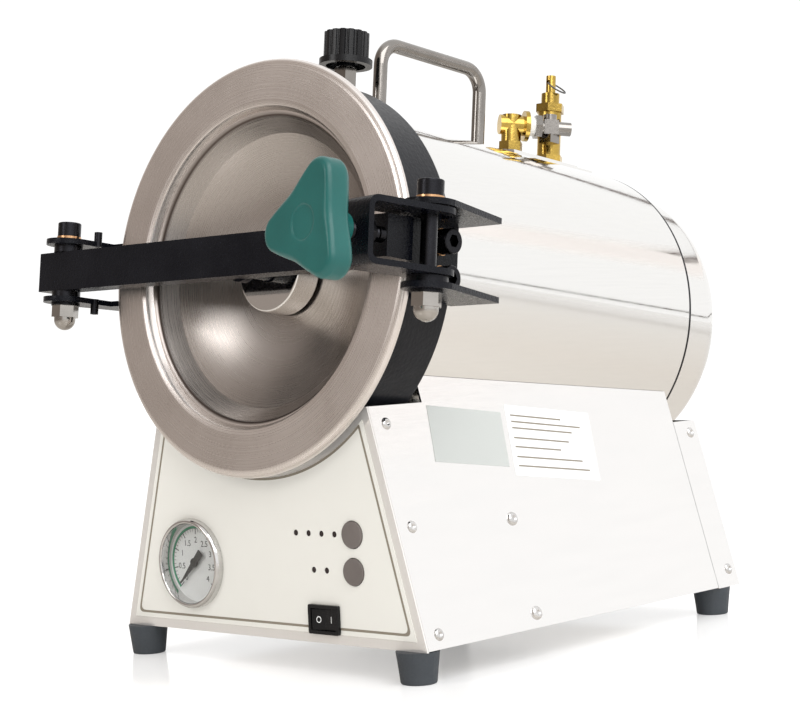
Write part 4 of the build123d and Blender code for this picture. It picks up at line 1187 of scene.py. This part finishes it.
def area_light(name, place, target, size, power):
    """A rectangular soft light that points at the target."""
    data = bpy.data.lights.new(name, "AREA")
    data.shape = "RECTANGLE"
    data.size, data.size_y = size
    data.energy = power
    light = bpy.data.objects.new(name, data)
    light.location = place
    light.rotation_euler = (Vector(target) - Vector(place)).to_track_quat("-Z", "Y").to_euler()
    bpy.context.scene.collection.objects.link(light)


def make_floor():
    """A glossy white floor that is darker and warmer in reflections than to the camera."""
    g = Graph("floor_gloss")
    wave = g.noise(3.0)
    mirrored = g.add("ShaderNodeLightPath").outputs["Is Glossy Ray"]
    tone = g.add("ShaderNodeMix", data_type="RGBA")
    g.link(mirrored, tone.inputs["Factor"])
    tone.inputs[6].default_value = (0.90, 0.90, 0.90, 1)
    tone.inputs[7].default_value = (0.66, 0.625, 0.58, 1)
    g.shader(
        Base_Color=tone.outputs[2],
        Roughness=g.grey(wave, 0.10, 0.14),
        Emission_Color=(1, 1, 1, 1),
        Emission_Strength=g.grey(mirrored, 0.30, 0.0, 0.0, 1.0),
    )
    reach = 6.0
    corners = [(-reach, -reach, 0), (reach, -reach, 0), (reach, reach, 0), (-reach, reach, 0)]
    floor = mesh_object("floor", corners, [(0, 1, 2, 3)])
    floor.data.materials.append(g.mat)


DIM_SIDE = Vector((-0.62, -0.78, 0.05)).normalized()
SKY_STOPS = (
    (0.0, (1.0, 1.0, 1.0)),
    (0.25, (1.0, 0.99, 0.975)),
    (0.60, (0.43, 0.38, 0.345)),
    (0.95, (0.31, 0.268, 0.24)),
)


def make_world():
    """White studio, with a dim warm room on the side that the door faces; the camera sees plain white."""
    world = bpy.data.worlds.new("studio")
    world.use_nodes = True
    tree = world.node_tree
    background = tree.nodes["Background"]
    coords = tree.nodes.new("ShaderNodeTexCoord").outputs["Generated"]
    toward = tree.nodes.new("ShaderNodeVectorMath")
    toward.operation = "DOT_PRODUCT"
    tree.links.new(coords, toward.inputs[0])
    toward.inputs[1].default_value = DIM_SIDE
    ramp = tree.nodes.new("ShaderNodeValToRGB")
    tree.links.new(toward.outputs["Value"], ramp.inputs["Fac"])
    while len(ramp.color_ramp.elements) < len(SKY_STOPS):
        ramp.color_ramp.elements.new(0.5)
    for element, (place, colour) in zip(ramp.color_ramp.elements, SKY_STOPS):
        element.position = place
        element.color = colour + (1,)
    path = tree.nodes.new("ShaderNodeLightPath")
    seen = tree.nodes.new("ShaderNodeMix")
    seen.data_type = "RGBA"
    tree.links.new(path.outputs["Is Camera Ray"], seen.inputs["Factor"])
    tree.links.new(ramp.outputs["Color"], seen.inputs[6])
    seen.inputs[7].default_value = (1, 1, 1, 1)
    tree.links.new(seen.outputs[2], background.inputs["Color"])
    background.inputs["Strength"].default_value = 1.08
    bpy.context.scene.world = world


CARD_AIM = (0.09, 0.0, 0.19)


def card(name, centre, wide, tall, shade, strength=0.0):
    """A studio card that only mirrors see; a glowing one fades out at its upper and lower edges."""
    centre = Vector(centre)
    toward = (Vector(CARD_AIM) - centre).normalized()
    side = toward.cross(UP).normalized()
    rise = side.cross(toward).normalized()
    corners = [
        centre + side * (a * wide / 2) + rise * (b * tall / 2)
        for a, b in ((-1, -1), (1, -1), (1, 1), (-1, 1))
    ]
    g = Graph(name)
    mottle = g.noise(2.0)
    g.shader(
        Base_Color=g.ramp(mottle, ((0.3, tuple(c * 0.9 for c in shade)), (0.7, shade))),
        Roughness=0.9,
        Specular_IOR_Level=0.0,
        Emission_Color=shade + (1,),
        Emission_Strength=strength,
    )
    if strength:
        height = g.add("ShaderNodeVectorMath", operation="DOT_PRODUCT")
        g.link(g.coords, height.inputs[0])
        height.inputs[1].default_value = rise
        middle = centre.dot(rise)
        share = g.grey(height.outputs["Value"], 0.0, 1.0, middle - tall / 2, middle + tall / 2)
        black, white = (0, 0, 0), (1, 1, 1)
        fade = g.ramp(share, ((0.0, black), (0.35, white), (0.65, white), (1.0, black)))
        g.link(fade, g.bsdf.inputs["Alpha"])
    obj = mesh_object(name, corners, [(0, 1, 2, 3)], smooth=False)
    obj.data.materials.append(g.mat)
    obj.visible_camera = False
    obj.visible_diffuse = False
    obj.visible_shadow = False


make_camera()
make_floor()
make_world()
card("card_horizon", (2.6, 3.0, 0.245), 7.0, 0.035, (0.10, 0.085, 0.06))
card("card_soft", (2.0, 2.4, 1.42), 5.0, 0.62, (0.93, 0.905, 0.895), 0.30)
card("card_high", (-0.5, 2.2, 1.30), 3.0, 0.05, (0.16, 0.13, 0.12))
area_light("key", (1.3, -0.5, 1.5), (0, 0, 0.15), (1.6, 1.6), 22)
area_light("fill", (-0.55, -1.95, 1.12), (0, -0.1, 0.15), (0.8, 0.8), 7)
bpy.context.scene.view_settings.view_transform = "Standard"
